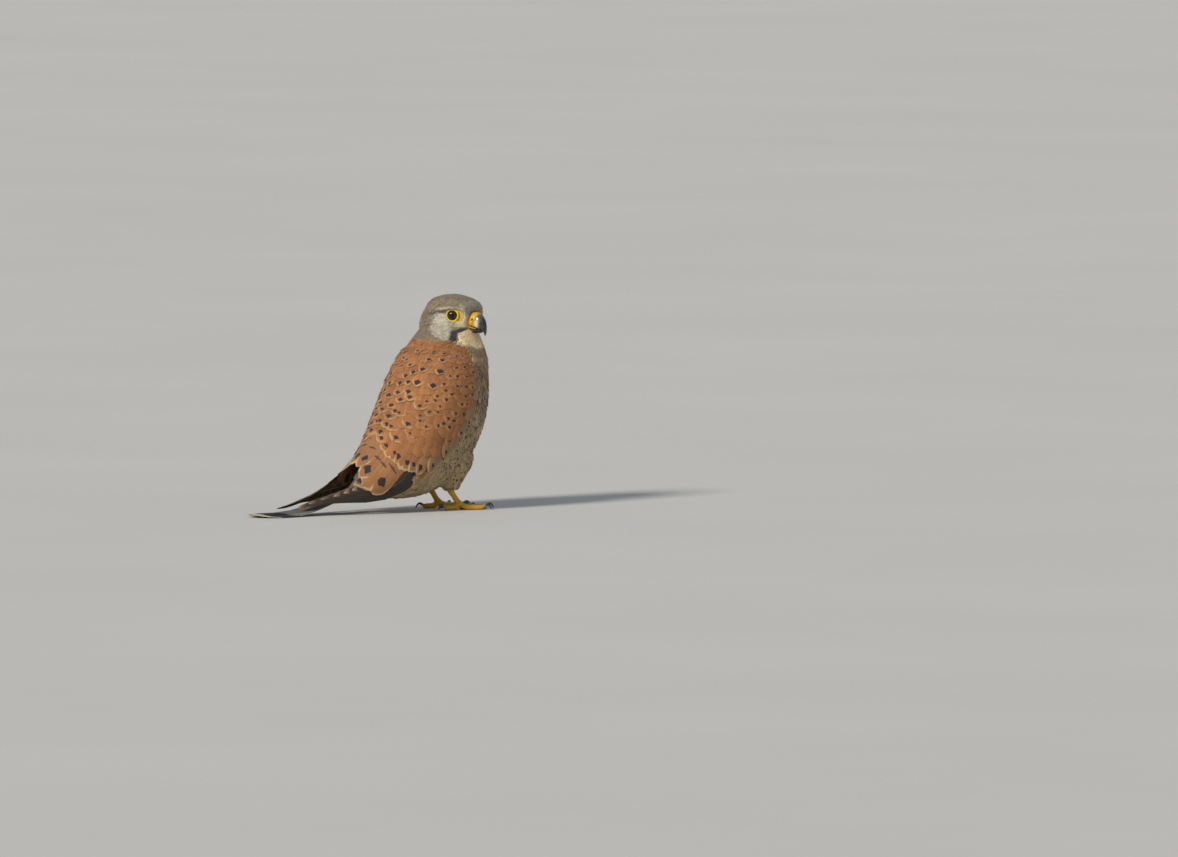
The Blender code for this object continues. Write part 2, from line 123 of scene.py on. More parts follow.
def unit(vectors):
    return vectors / (np.linalg.norm(vectors, axis=-1, keepdims=True) + 1e-12)


def on_curve(stations, at):
    """A smooth curve through the stations at their fractional numbers, and the stations on either side."""
    stations, at = np.asarray(stations, float), np.asarray(at, float)
    i = np.minimum(at.astype(int), len(stations) - 2)
    a, b, c, d = (stations[np.clip(i + step, 0, len(stations) - 1)] for step in (-1, 0, 1, 2))
    t = (at - i)[..., None]
    doubled = 2 * b + (c - a) * t + (2 * a - 5 * b + 4 * c - d) * t**2 + (3 * b - a - 3 * c + d) * t**3
    return doubled / 2, b, c


LINE_GRID = np.arange(LINE_START, LINE_END + 1, 1.0)


def station_table(stations):
    """Each column of the stations at the line's grid, a little past its two stations at the most."""
    keys = sorted(stations)
    found, near, far = on_curve([stations[key] for key in keys], np.interp(LINE_GRID, keys, range(len(keys))))
    room = 0.15 * np.abs(far - near)
    return np.clip(found, np.minimum(near, far) - room, np.maximum(near, far) + room)


WING_TABLE, TRUNK_TABLE = station_table(WING), station_table(TRUNK)


def line_slope(along):
    slope = BODY_SLOPE + (TAIL_SLOPE - BODY_SLOPE) * smooth(along, BEND_START, BEND_END)
    return np.radians(slope * (1 - smooth(along, TAIL_FLAT_START, TAIL_FLAT_END)))


def body_line():
    """Forward and up of the body line at each place of the grid, with the tail's end on the floor."""
    steps = line_slope(LINE_GRID[:-1] + 0.5)
    steps[LINE_GRID[:-1] < 0] = line_slope(0.0)
    forward, up = (np.concatenate([[0], -np.cumsum(way(steps))]) for way in (np.cos, np.sin))
    return (forward - forward[-LINE_START] + NECK_FORWARD,
            up - up[int(TAIL_TIP) - LINE_START] + TAIL_THICKNESS / 2)


LINE_FORWARD, LINE_UP = body_line()


def read_column(table, along, column):
    return np.interp(along, LINE_GRID, table[:, column])


def lower_edge(along):
    """The angle of the folded wing's lower edge."""
    return read_column(WING_TABLE, along, 4)


def place(along, left, back):
    """Points in metres, given along the body line, to the left and out towards the back."""
    slope = line_slope(np.maximum(along, 0))
    forward = np.interp(along, LINE_GRID, LINE_FORWARD) - back * np.sin(slope)
    up = np.interp(along, LINE_GRID, LINE_UP) + back * np.cos(slope)
    return np.stack(np.broadcast_arrays(left, ORIGIN_FORWARD - forward, up), -1) * MM


def body_place(points):
    """(along, left, back) of points in metres: place() turned round."""
    spots = np.asarray(points, float) / MM
    forward, up = ORIGIN_FORWARD - spots[:, 1], spots[:, 2]
    gap = (forward[:, None] - LINE_FORWARD[None, ::3]) ** 2 + (up[:, None] - LINE_UP[None, ::3]) ** 2
    along = LINE_GRID[::3][np.argmin(gap, axis=1)]
    for last in (False, False, False, True):
        slope = line_slope(np.maximum(along, 0))
        ahead = forward - np.interp(along, LINE_GRID, LINE_FORWARD)
        above = up - np.interp(along, LINE_GRID, LINE_UP)
        if not last:
            along = np.clip(along - ahead * np.cos(slope) - above * np.sin(slope), LINE_START, LINE_END)
    return along, spots[:, 0], above * np.cos(slope) - ahead * np.sin(slope)


def round_body(points):
    """Places along the body line, and degrees round it from the back's middle."""
    along, left, back = body_place(points)
    return along, np.degrees(np.arctan2(np.abs(left), back))


def form(along, theta, side):
    """The folded wings' and belly's outer form: theta turns from the back, to the bird's side (1 is left)."""
    along, theta = np.broadcast_arrays(np.asarray(along, float), np.asarray(theta, float))
    width, height, drop, rise = (read_column(WING_TABLE, along, k) for k in range(4))
    lower = np.radians(lower_edge(along))
    belly = smooth(np.abs(theta), lower, lower + 0.4)
    width = width + (read_column(TRUNK_TABLE, along, 0) - width) * belly
    drop = drop + (read_column(TRUNK_TABLE, along, 1) - drop) * belly
    depth = np.where(np.cos(theta) > 0, height, drop)
    return place(along, side * width * np.sin(theta), rise + depth * np.cos(theta))


def head_frame():
    """The matrix from the head's millimetres (forward, left, up) to metres."""
    forward, left, up = HEAD_PLACE
    line_top = float(np.interp(0, LINE_GRID, LINE_UP))
    middle = Vector((left, ORIGIN_FORWARD - NECK_FORWARD - forward, line_top + up)) * MM
    yaw = Matrix.Rotation(math.radians(-HEAD_YAW), 4, "Z")
    pitch = Matrix.Rotation(math.radians(HEAD_PITCH), 4, "X")
    axes = Matrix(((0, 1, 0, 0), (-1, 0, 0, 0), (0, 0, 1, 0), (0, 0, 0, 1)))
    return np.array(Matrix.Translation(middle) @ (yaw @ pitch) @ axes @ Matrix.Scale(MM, 4))


HEAD_TURN, HEAD_MIDDLE = head_frame()[:3, :3] / MM, head_frame()[:3, 3]


def to_head(points):
    """Points in metres as the head's forward, left and up in millimetres, called f, side and u below."""
    return (np.asarray(points) - HEAD_MIDDLE) @ HEAD_TURN / MM


def from_head(places):
    return np.asarray(places, float) @ HEAD_TURN.T * MM + HEAD_MIDDLE


def world(forward, left, up):
    return np.array((left, ORIGIN_FORWARD - forward, up)) * MM


def eye_side(side):
    """The middle of an eye and the way it looks, in the head's frame."""
    flip = np.array((1.0, side, 1.0))
    return EYE_PLACE * flip, unit(EYE_AXIS * flip)


def from_eyes(spots):
    """For either eye: places from its middle, how far they are, and the angle from the way it looks."""
    for side in SIDES:
        middle, axis = eye_side(side)
        off = spots - middle
        reach = np.linalg.norm(off, axis=1)
        yield middle, axis, off, reach, np.arccos(np.clip(off @ axis / np.maximum(reach, 1e-9), -1, 1))


# ---------------------------------------------------------------- markings

def bare_round_eye(spots, height=5.25):
    """1 on the bare yellow skin round either eye, broadest ahead of it, in head places."""
    found = 0.0
    for _, axis, off, _, _ in from_eyes(spots):
        across = unit(np.cross(axis, (0, 0, 1.0)))
        across *= np.sign(across[0])
        rise = np.cross(across, axis)
        ring = np.hypot((off @ across - 2.4) / 8.6, off @ rise / height)
        found = np.maximum(found, (1 - smooth(ring, 0.97, 1.05)) * smooth(off @ axis, -6.0, -4.0))
    return found


def zone_marks(points, tone):
    """How much of each plumage colour is at each point, as the attributes that the plumage material reads."""
    points = np.asarray(points, float)
    spots = to_head(points)
    f, side, u = spots.T
    turn = np.degrees(np.arctan2(np.abs(side), f))  # round the head, from the way it faces
    level = (points[:, 2] - HEAD_MIDDLE[2]) / MM
    along, theta = round_body(points)
    edge = np.interp(turn, [0, 12, 27, 42, 52, 64, 180], [-29, -27.5, -24.5, -22.5, -21, -18.5, -17.5])
    head = smooth(level, edge - 1.2, edge + 1.2)

    # The head: grey above and behind, pale cheek and throat, dark moustache and eye stripe, and a thin dark
    # line under the brow that is painted shadow.
    rear = np.interp(u, [-16, -13, -9, -5, 4], [62, 80, 106, 118, 116])
    cheek = smooth(turn, 57, 64) * smooth(turn, rear + 14, rear - 6)
    cheek = cheek * smooth(u, 5.2, 2.8) * smooth(u, -20, -16)
    ear_edge = 0.35 * smooth(turn, rear + 34, rear) * smooth(turn, 90, 100) * smooth(u, 1, -3)
    brow_at = np.interp(turn, [40, 60, 80, 100, 120], [10.4, 11.2, 10.7, 8.9, 6.2])
    brow = bump_of(u, brow_at, 0.45, 1.0) * smooth(turn, 124, 112) * smooth(turn, 34, 48)
    # The throat, lores and forehead are cream and pale of their own, and are made paler still as painted
    # light where the face turns from the light.
    throat = smooth(turn, 51, 46) * smooth(u, -5.6, -7.2) * smooth(level, -28, -25.5)
    lores = smooth(f, 10.5, 14.0) * smooth(u, 8.5, 5.5) * smooth(u, -5.6, -4) * 1.6
    forehead = smooth(f, 8.0, 14.0) * smooth(u, 4.0, 7.0) * 0.7
    pale = np.maximum.reduce([cheek, ear_edge, 0.66 * brow, lores, forehead, 2 * throat])
    beard_at = np.interp(u, [-17, -13, -9.4, -8.0, -7.0, -6.0], [53.5, 54.5, 55.0, 50, 43, 36])
    broad = np.interp(u, [-11, -8.5, -6], [3.4, 5.2, 9.0])
    moustache = bump_of(turn, beard_at, broad, 3.4) * smooth(u, -4.6, -6.0) * smooth(u, -18.5, -15.5)
    stripe_at = np.interp(turn, [84, 111, 132], [7.2, 4.6, 0.2])
    stripe = 0.85 * bump_of(u, stripe_at, 0.8, 1.0) * smooth(turn, 84, 90) * smooth(turn, 140, 124)
    # A thin dark line just under the brow, in the moustache's colour: painted shadow of the brow.
    brow_shadow = 0.55 * bump_of(u, brow_at - 1.7, 0.25, 0.8) * smooth(turn, 44, 52) * smooth(turn, 86, 78)
    under_eye = bump_of(turn, 56, 5, 6) * bump_of(u, -3.6, 0.9, 1.3) * 0.32
    ear = bump_of(turn, rear + 16, 6, 9) * bump_of(u, -6, 6, 5) * 0.22
    dark = np.maximum.reduce([moustache, stripe, brow_shadow, under_eye, ear])
    pale, dark = np.clip(pale, 0, 2) * head, np.clip(dark, 0, 1) * head
    yellow = bare_round_eye(spots) * (0.55 + 0.45 * smooth(f, 2.0, 6.5))

    # The body: rufous back and wings, buff below, grey rump and tail coverts.
    low = lower_edge(along)
    rufous = smooth(theta, low + 3, low - 7) * (1 - head) * smooth(along, 126, 118)
    rump = smooth(along, 118, 126) * smooth(theta, 112, 84)
    grey = np.maximum(head * (1 - smooth(turn, 62, 46) * smooth(u, -4.6, -6.4)), rump)
    return {"zone_a": (rufous, grey, pale), "zone_b": (np.maximum(dark, 0.4 * rump), yellow, tone)}


# ---------------------------------------------------------------- shader maths

class Value:
    """A socket in a material, so that plain arithmetic on it adds the Math nodes."""

    def __init__(self, tree, socket):
        self.tree, self.socket = tree, socket

    def math(self, operation, *others):
        return self.tree.add("ShaderNodeMath", {"operation": operation}, self, *others)

    def __add__(self, other):
        return self.math("ADD", other)

    def __sub__(self, other):
        return self.math("SUBTRACT", other)

    def __rsub__(self, other):
        return self.tree.add("ShaderNodeMath", {"operation": "SUBTRACT"}, other, self)

    def __mul__(self, other):
        return self.math("MULTIPLY", other)

    __radd__, __rmul__ = __add__, __mul__

    def sine(self):
        return self.math("SINE")

    def size(self):
        return self.math("ABSOLUTE")

    def root(self):
        return self.math("SQRT")

    def largest(self, other):
        return self.math("MAXIMUM", other)

    def clamp(self):
        return self.tree.add("ShaderNodeClamp", {}, self)

    def rise(self, low, high):
        """0 at low, 1 at high, smooth between; it falls where low is above high."""
        ends = (low, high, 0.0, 1.0) if low < high else (high, low, 1.0, 0.0)
        settings = {"interpolation_type": "SMOOTHSTEP", "clamp": True}
        return self.tree.add("ShaderNodeMapRange", settings, self, *ends)


class Shader:
    """A new material with one Principled shader, and short ways to add what feeds it."""

    def __init__(self, name):
        self.material = bpy.data.materials.new(name)
        self.material.use_nodes = True
        self.tree = self.material.node_tree

    def add(self, kind, settings, *values, output=0, **named):
        """A node of that kind: first its settings, then values or links for its sockets, by order or name."""
        node = self.tree.nodes.new(kind)
        for key, value in settings.items():
            setattr(node, key, value)
        self.feed(node, {**dict(enumerate(values)), **named})
        return Value(self, node.outputs[output])

    def feed(self, node, sockets):
        for key, value in sockets.items():
            if isinstance(value, Value):
                self.tree.links.new(value.socket, node.inputs[key])
            elif value is not None:
                node.inputs[key].default_value = value

    def finish(self, sockets):
        """The material, with values or links for the Principled shader's sockets."""
        self.feed(self.tree.nodes["Principled BSDF"], sockets)
        return self.material

    def mix(self, first, second, share, blend="MIX"):
        settings = {"data_type": "RGBA", "blend_type": blend}
        return self.add("ShaderNodeMix", settings, share, *[None] * 5, first, second, output=2)

    def paint(self, base, **shares):
        """A colour with each of the panel's named colours over it in turn, by its share."""
        for name, share in shares.items():
            base = self.mix(base, colour(name), share)
        return base

    def shade(self, base, brightness):
        """A colour times a brightness."""
        grey = self.add("ShaderNodeCombineColor", {}, *[brightness] * 3)
        return self.mix(base, grey, 1.0, "MULTIPLY")

    def split(self, vector):
        node = self.add("ShaderNodeSeparateXYZ", {}, vector).socket.node
        return [Value(self, socket) for socket in node.outputs]

    def attribute(self, name):
        """An attribute of the mesh as three values."""
        return self.split(self.add("ShaderNodeAttribute", {"attribute_name": name}, output=1))

    def vane(self):
        """Where a point is on its vane: across from -1 to 1, how far from the shaft, and down from 0 to 1."""
        across, down, _ = self.split(self.add("ShaderNodeUVMap", {"uv_map": "vane"}))
        signed = across * 2.0 - 1.0
        return signed, signed.size(), down

    def barbs(self, off, down, count, slant):
        """Fine slanted ridges on either side of the shaft."""
        return ((down * count - off * slant) * FULL_TURN).sine()

    def place(self):
        """Where the surface is, in the piece's own metres."""
        return self.add("ShaderNodeTexCoord", {}, output=3)

    def noise(self, scale, detail, vector=None):
        return self.add("ShaderNodeTexNoise", {}, Vector=vector or self.place(), Scale=scale, Detail=detail,
                        Roughness=0.55)

    def bump(self, height, distance, strength):
        return self.add("ShaderNodeBump", {}, Strength=strength, Distance=distance, Height=height)


def colour(name):
    """One of the panel's colours, as a Principled shader takes it."""
    return (*getattr(bpy.context.scene.kestrel_colours, name), 1.0)


def plumage_material(sh):
    """Body feathers and the skin under them, coloured by the mesh's own markings, with painted shade towards
    each vane's root.
    """
    rufous, grey, pale = sh.attribute("zone_a")
    dark, yellow, tone = sh.attribute("zone_b")
    spot, streak, fringe = sh.attribute("mark")
    _, off, down = sh.vane()
    base = sh.paint(colour("buff"), rufous=rufous, grey=grey, pale=pale.clamp(), cream=(pale - 1.0).clamp(),
                    dark=dark)
    patch = sh.noise(95.0, 2.0)
    strand = sh.add("ShaderNodeCombineXYZ", {}, off * 7.0 - down * 3.0, down * 2.2, tone * 60.0)
    fibre = sh.noise(1.0, 3.0, strand)
    shade = (tone - 0.5) * 0.42 + (patch - 0.5) * 0.30 + (fibre - 0.5) * 0.62 + 1.0
    # Each vane is darker towards its root, where the feather over it lies: painted shade.
    base = sh.shade(base, shade * (down.rise(-0.1, 0.55) * 0.32 + 0.68))

    # A pale fringe round the tip, a dark shaft streak, and a dark spot that points to the tip. A streak
    # below 0 stands for a long feather: its spot is shorter along it, and it has a second, thin bar.
    fray = sh.noise(1100.0, 2.0) - 0.5
    later = (down - 0.62).largest(0.0) * 2.45
    long = (streak * -1.0).largest(0.0)
    rim = ((off * off + later * later).root() + fray * 0.12 - long * 0.8).rise(0.80, 0.95)
    rim = rim * down.rise(0.5, 0.8)
    line = (streak * 0.55 - off + fray * 0.1).rise(-0.05, 0.12) * down.rise(0.12, 0.3) * down.rise(1.0, 0.9)
    below = (down - off * 0.10 - 0.77).largest(0.0) * (long * 10.0 + 2.5)
    above = (off * 0.10 + 0.77 - down).largest(0.0) * (long * 30.0 + 9.0)
    reach = ((off + below) * (off + below) + above * above).root()
    mask = (spot - reach + fray * 0.10).rise(-0.03, 0.05) * spot.rise(0.02, 0.12)
    bar = ((down - 0.56).size() + off * 0.03 + fray * 0.02).rise(0.030, 0.018) * off.rise(0.62, 0.45)
    mask = mask.largest(bar * long.rise(0.05, 0.1) * 0.75)
    base = sh.paint(base, fringe=(rim * fringe).clamp(),
                    streak=(line * streak.rise(0.02, 0.25) * 0.92).clamp(), spot=(mask * 0.94).clamp(),
                    ring=yellow)
    barbs = sh.barbs(off, down, 46.0, 16.0)
    shaft = off.rise(0.055, 0.02) * down.rise(0.95, 0.8)
    return sh.finish({
        "Base Color": sh.shade(base, barbs * 0.035 + 0.99 - shaft * 0.20), "Roughness": patch * 0.16 + 0.58,
        "Specular IOR Level": 0.22, "Sheen Weight": 0.12, "Sheen Roughness": 0.5,
        "Normal": sh.bump(barbs * 0.4 + fibre * 1.2 + shaft, 0.00012, 0.5)})


def quill_finish(sh, base, grain, off, down, shaft, shaft_colour, slant, rough):
    """The end of both quill materials: fine barbs, and a shaft of a width, a depth and a colour."""
    width, depth = shaft
    ridge = off.rise(width, 0.02)
    barbs = sh.barbs(off, down, 120.0, slant)
    base = sh.mix(base, shaft_colour, ridge * depth)
    return sh.finish({
        "Base Color": sh.shade(base, barbs * 0.05 + 0.985), "Roughness": grain * 0.2 + rough,
        "Specular IOR Level": 0.35, "Normal": sh.bump(barbs * 0.5 + ridge, 0.00014, 0.6)})


def flight_material(sh):
    """Dark wing quills: pale edge, pale bars on the inner web, dark shaft."""
    fringe, bars, tone = sh.attribute("mark")
    warm, tip_pale, _ = sh.attribute("zone_a")
    signed, off, down = sh.vane()
    grain = sh.noise(130.0, 3.0)
    base = sh.paint(colour("quill"), quill_warm=warm)
    base = sh.shade(base, (tone - 0.5) * 0.30 + grain * 0.22 + 0.88)
    bar = (down * 15.0 * FULL_TURN).sine().rise(0.1, 0.75) * (signed * -1.0).rise(0.12, 0.34)
    rim = off.rise(0.84, 0.985).largest(down.rise(0.972, 0.995))
    for share in (bar * bars, rim * fringe, down.rise(0.93, 0.985) * tip_pale):
        base = sh.paint(base, fringe=share.clamp())
    return quill_finish(sh, base, grain, off, down, (0.05, 0.8), (0.035, 0.026, 0.02, 1), 26.0, 0.42)


def tail_material(sh):
    """Blue-grey tail quills with a black band before a white tip."""
    fringe, tone, _ = sh.attribute("mark")
    _, off, down = sh.vane()
    grain = sh.noise(120.0, 3.0)
    wander = (grain - 0.5) * 0.02
    base = sh.shade(colour("tail"), (tone - 0.5) * 0.25 + grain * 0.3 + 0.84)
    band = (down + wander).rise(0.735, 0.765)
    base = sh.paint(base, band=band, white=(down + wander).rise(0.935, 0.952))
    base = sh.paint(base, white=(off.rise(0.8, 0.98) * fringe * (1.0 - band * 0.8)).clamp())
    return quill_finish(sh, base, grain, off, down, (0.06, 0.75), (0.03, 0.028, 0.028, 1), 24.0, 0.45)


def yellow_skin_material(sh):
    """Bare yellow skin of the cere, gape and feet, with fine creases; the deeper yellow where the mesh marks
    shade and the near black in the nostrils' hollows are painted shade.
    """
    shade, scute, hole_shade = sh.attribute("mark")
    grain = sh.noise(420.0, 3.0)
    cells = sh.add("ShaderNodeTexVoronoi", {"feature": "DISTANCE_TO_EDGE"}, Vector=sh.place(), Scale=900.0)
    crease = cells.rise(0.10, 0.02) * (1.0 - scute)
    base = sh.paint(colour("yellow"), yellow_deep=(shade * 0.75 + grain * 0.35 - 0.1).clamp())
    base = sh.mix(base, (0.20, 0.11, 0.03, 1), crease * 0.35)
    # The nostrils' hollows go near black: painted shade.
    return sh.finish({
        "Base Color": sh.mix(base, (0.05, 0.025, 0.012, 1), hole_shade), "Roughness": grain * 0.15 + 0.38,
        "Specular IOR Level": 0.4, "Normal": sh.bump(grain * 0.5 - crease, 0.00010, 0.6)})


def horn_material(sh):
    """Blue-black horn, paler and bluer at its root; the pale root also stands in for a painted highlight on
    the upper bill's lower side.
    """
    pale, groove_shade, _ = sh.attribute("mark")
    grain = sh.noise(300.0, 3.0)
    # The pale root is partly the horn's own colour and partly a painted highlight.
    base = sh.paint(colour("horn"), horn_pale=(pale + (grain - 0.5) * 0.2).clamp())
    return sh.finish({
        # groove_shade would darken the horn in its grooves as painted shade; every horn piece here gives it
        # 0.
        "Base Color": sh.shade(base, grain * 0.3 + 0.82 - groove_shade * 0.3), "Roughness": grain * 0.16 + 0.16,
        "Coat Weight": 0.3, "Coat Roughness": 0.12, "Normal": sh.bump(grain, 0.00006, 0.4)})


def eye_material(sh):
    """A wet, almost black eye: dark brown iris round a black pupil."""
    angle, spoke, _ = sh.attribute("mark")
    iris = sh.mix((0.020, 0.012, 0.008, 1), (0.045, 0.027, 0.016, 1), spoke)
    base = sh.mix((0.0025, 0.0022, 0.002, 1), iris, angle.rise(0.30, 0.34))
    return sh.finish({
        "Base Color": sh.mix(base, (0.006, 0.004, 0.003, 1), angle.rise(0.60, 0.68)), "Roughness": 0.08,
        "Specular IOR Level": 0.25, "Coat Weight": 0.35, "Coat Roughness": 0.02})


MATERIALS = {"plumage": plumage_material, "wing quills": flight_material, "tail quills": tail_material,
             "yellow skin": yellow_skin_material, "polished horn": horn_material, "wet eye": eye_material}


def material(name):
    """The material of that name, made the first time it is asked for."""
    return bpy.data.materials.get(name) or MATERIALS[name](Shader(name))


# ---------------------------------------------------------------- meshes

def pick(*objects):
    """These objects alone are selected, and the first is active."""
    if bpy.context.mode != "OBJECT":
        bpy.ops.object.mode_set(mode="OBJECT")
    bpy.ops.object.select_all(action="DESELECT")
    for obj in objects:
        obj.select_set(True)
    if objects:
        bpy.context.view_layer.objects.active = objects[0]


def new_object(name, mesh, finish=None):
    made = bpy.data.objects.new(name, mesh)
    bpy.context.scene.collection.objects.link(made)
    if finish:
        mesh.materials.clear()
        mesh.materials.append(material(finish))
    return made


def join(pieces, name):
    pick(*pieces)
    if len(pieces) > 1:
        bpy.ops.object.join()
    pieces[0].name = pieces[0].data.name = name
    return pieces[0]


def settle(obj, slot, *nodes):
    """The finished piece rides on the bird and stands for those CAD nodes; slot is not used."""
    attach(obj, "root")
    if nodes:
        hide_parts(*nodes)
    pick()


def in_edit_mode(obj, operator, **settings):
    """The mesh operator, on all of the object."""
    pick(obj)
    bpy.ops.object.mode_set(mode="EDIT")
    bpy.ops.mesh.select_all(action="SELECT")
    operator(**settings)
    bpy.ops.object.mode_set(mode="OBJECT")


def one_skin(pieces, name, grain, rounds):
    """Closed pieces as one smooth skin of faces of that grain, in metres."""
    skin = join(pieces, name)
    in_edit_mode(skin, bpy.ops.mesh.remove_doubles, threshold=0.00001)
    for kind, settings in (("REMESH", {"mode": "VOXEL", "voxel_size": grain}),
                           ("SMOOTH", {"factor": 0.5, "iterations": rounds})):
        modifier = skin.modifiers.new(kind.lower(), kind)
        for key, value in settings.items():
            setattr(modifier, key, value)
        bpy.ops.object.modifier_apply(modifier=modifier.name)
    return skin


def give_vector(mesh, name, *values):
    """A named attribute of three numbers for each vertex."""
    layer = mesh.attributes.new(name, "FLOAT_VECTOR", "POINT")
    found = np.stack(np.broadcast_arrays(*values, np.empty(len(mesh.vertices)))[:3], 1)
    layer.data.foreach_set("vector", found.astype(np.float32).ravel())


def corner_points(mesh):
    """The vertex of each face corner."""
    found = np.empty(len(mesh.loops), np.int32)
    mesh.loops.foreach_get("vertex_index", found)
    return found


def give_map(mesh, name, places):
    """A UV map with one place for each vertex."""
    layer = mesh.uv_layers.new(name=name, do_init=False)
    layer.data.foreach_set("uv", np.asarray(places, np.float32)[corner_points(mesh)].ravel())


def read_mesh(mesh, what="co"):
    """The mesh's points, or its normals."""
    found = np.empty(len(mesh.vertices) * 3, np.float32)
    mesh.vertices.foreach_get(what, found)
    return found.reshape(-1, 3).astype(float)


def set_points(mesh, points):
    mesh.vertices.foreach_set("co", np.asarray(points, np.float32).ravel())
    mesh.update()


def ring_mesh(name, rings):
    """A closed mesh over rings of points in metres, capped at both ends."""
    bm = bmesh.new()
    rows = [[bm.verts.new(point) for point in ring] for ring in rings]
    for near, far in zip(rows, rows[1:]):
        for a, b, c, d in zip(near, near[1:] + near[:1], far[1:] + far[:1], far):
            bm.faces.new((a, b, c, d))
    bm.faces.new(rows[0][::-1])
    bm.faces.new(rows[-1])
    bmesh.ops.recalc_face_normals(bm, faces=bm.faces)
    mesh = bpy.data.meshes.new(name)
    bm.to_mesh(mesh)
    bm.free()
    return mesh


def ring_piece(name, rings, finish, marks, sharp_from=80):
    """A smooth piece over rings of points, with three numbers for each point."""
    mesh = ring_mesh(name, rings)
    mesh.shade_smooth()
    mesh.set_sharp_from_angle(angle=math.radians(sharp_from))
    give_vector(mesh, "mark", *marks)
    return new_object(name, mesh, finish)


def circle(count):
    return np.linspace(0, 2 * math.pi, count, endpoint=False)


def tube_rings(points, ways, radii, count, flat=1.0):
    """Rings round a path, their radius times flat to the side."""
    over = unit(np.cross(ways, (0, 0, 1.0)))[:, None]
    rise = np.cross(over, ways[:, None])
    turn = circle(count)[None, :, None]
    return points[:, None] + (np.cos(turn) * over * flat + np.sin(turn) * rise) * radii[:, None, None]


# ---------------------------------------------------------------- vanes

def skin_map(points):
    """Where points lie on an unwrap of the skin: round the body and down it, the head beside it."""
    along, left, back = body_place(points)
    f, side, u = to_head(points).T
    head = (along < 2) & (u > -20)
    turn = np.arctan2(left, back) / (2 * math.pi) + 0.5
    body = np.stack([0.02 + 0.60 * turn, 0.02 + 0.96 * np.clip((along + 30) / 310, 0, 1)], 1)
    round_head = np.arctan2(side, -f) / (2 * math.pi) + 0.5
    over = np.arctan2(u, np.hypot(f, side)) / math.pi + 0.5
    return np.where(head[:, None], np.stack([0.66 + 0.32 * round_head, 0.02 + 0.96 * over], 1), body)


def vane_map(across, rows):
    """One vane's own map, 0 to 1 both ways."""
    return np.stack(np.broadcast_arrays((across[None, :] + 1) / 2, rows[:, None]), -1)


def vane_faces(rows, cols, shell):
    """The faces of one closed vane on a grid of rows by cols. A shell has an inner grid below it, in the same
    outline; the plain kind is closed by one flat face a row."""
    at = np.arange(rows * cols).reshape(rows, cols)
    cells = list(itertools.product(range(rows - 1), range(cols - 1)))
    faces = [(at[i, j], at[i, j + 1], at[i + 1, j + 1], at[i + 1, j]) for i, j in cells]
    if shell:
        under = at.copy()
        under[1:-1, 1:-1] = rows * cols + np.arange((rows - 2) * (cols - 2)).reshape(rows - 2, cols - 2)
        low = [(under[i + 1, j], under[i + 1, j + 1], under[i, j + 1], under[i, j]) for i, j in cells]
        return faces + low
    return [*faces, *((at[i + 1, 0], at[i + 1, -1], at[i, -1], at[i, 0]) for i in range(rows - 1)),
            tuple(at[0, ::-1]), tuple(at[-1])]


def feather_piece(name, tops, uv, marks, patch, thick=0, finish="plumage", roots=None):
    """One piece from many vanes. tops is (vanes, rows, cols, 3) in metres, uv one vane's map or each one's,
    marks three numbers a vane by name, and thick how far a shell's inner grid lies below it."""
    count, rows, cols = tops.shape[:3]
    points = tops.reshape(count, rows * cols, 3)
    places = np.broadcast_to(np.asarray(uv).reshape(-1, rows * cols, 2), (count, rows * cols, 2))
    if thick:
        out = unit(np.cross(np.gradient(tops, axis=1), np.gradient(tops, axis=2)))
        under = (tops - out * thick * MM)[:, 1:-1, 1:-1].reshape(count, -1, 3)
        core = places.reshape(count, rows, cols, 2)[:, 1:-1, 1:-1].reshape(count, -1, 2)
        points, places = np.concatenate([points, under], 1), np.concatenate([places, core], 1)
    per = points.shape[1]
    faces = vane_faces(rows, cols, thick)
    corner = np.concatenate([np.array(face) for face in faces])
    start = np.cumsum([0, *map(len, faces)])[:-1]
    number = np.arange(count)[:, None]
    corners, starts = (corner[None] + per * number).ravel(), (start[None] + len(corner) * number).ravel()
    mesh = bpy.data.meshes.new(name)
    mesh.vertices.add(count * per)
    mesh.vertices.foreach_set("co", points.astype(np.float32).ravel())
    mesh.loops.add(len(corners))
    mesh.loops.foreach_set("vertex_index", corners.astype(np.int32))
    mesh.polygons.add(len(starts))
    mesh.polygons.foreach_set("loop_start", starts.astype(np.int32))
    mesh.update(calc_edges=True)
    for key, values in marks.items():
        give_vector(mesh, key, *(np.repeat(np.broadcast_to(value, (count,)), per) for value in values))
    places = places.reshape(-1, 2)
    middle = np.repeat(skin_map(tops[:, 0, cols // 2] if roots is None else roots), per, axis=0)
    give_map(mesh, "vane", places)
    give_map(mesh, "OFBake", middle + (places - 0.5) * patch)
    mesh.shade_smooth()
    mesh.set_sharp_from_angle(angle=math.radians(62))
    return new_object(name, mesh, finish)


# ---------------------------------------------------------------- skin

FLESH = ("head", "neck", "trunk", "rump", "thigh_left", "thigh_right", "wing_left", "wing_right")
FILLED = ("head", "neck", "trunk", "rump", "thigh_left", "thigh_right", "eye_left", "eye_right")


def coat_depth(points):
    """How far the skin lies inside the solids, in metres."""
    along, theta = round_body(points)
    sizes = bpy.context.scene.kestrel_sizes
    depth = sizes.coat_depth + (sizes.head_coat_depth - sizes.coat_depth) * smooth(along, 10, -12)
    face = smooth(np.linalg.norm(to_head(points) - np.array((22, 0, 0)), axis=1), 22, 10)
    wing = smooth(theta, 18, 40) * smooth(theta, 112, 96) * smooth(along, 20, 60) * 0.9 * MM
    return depth * (1 - 0.5 * face) + wing


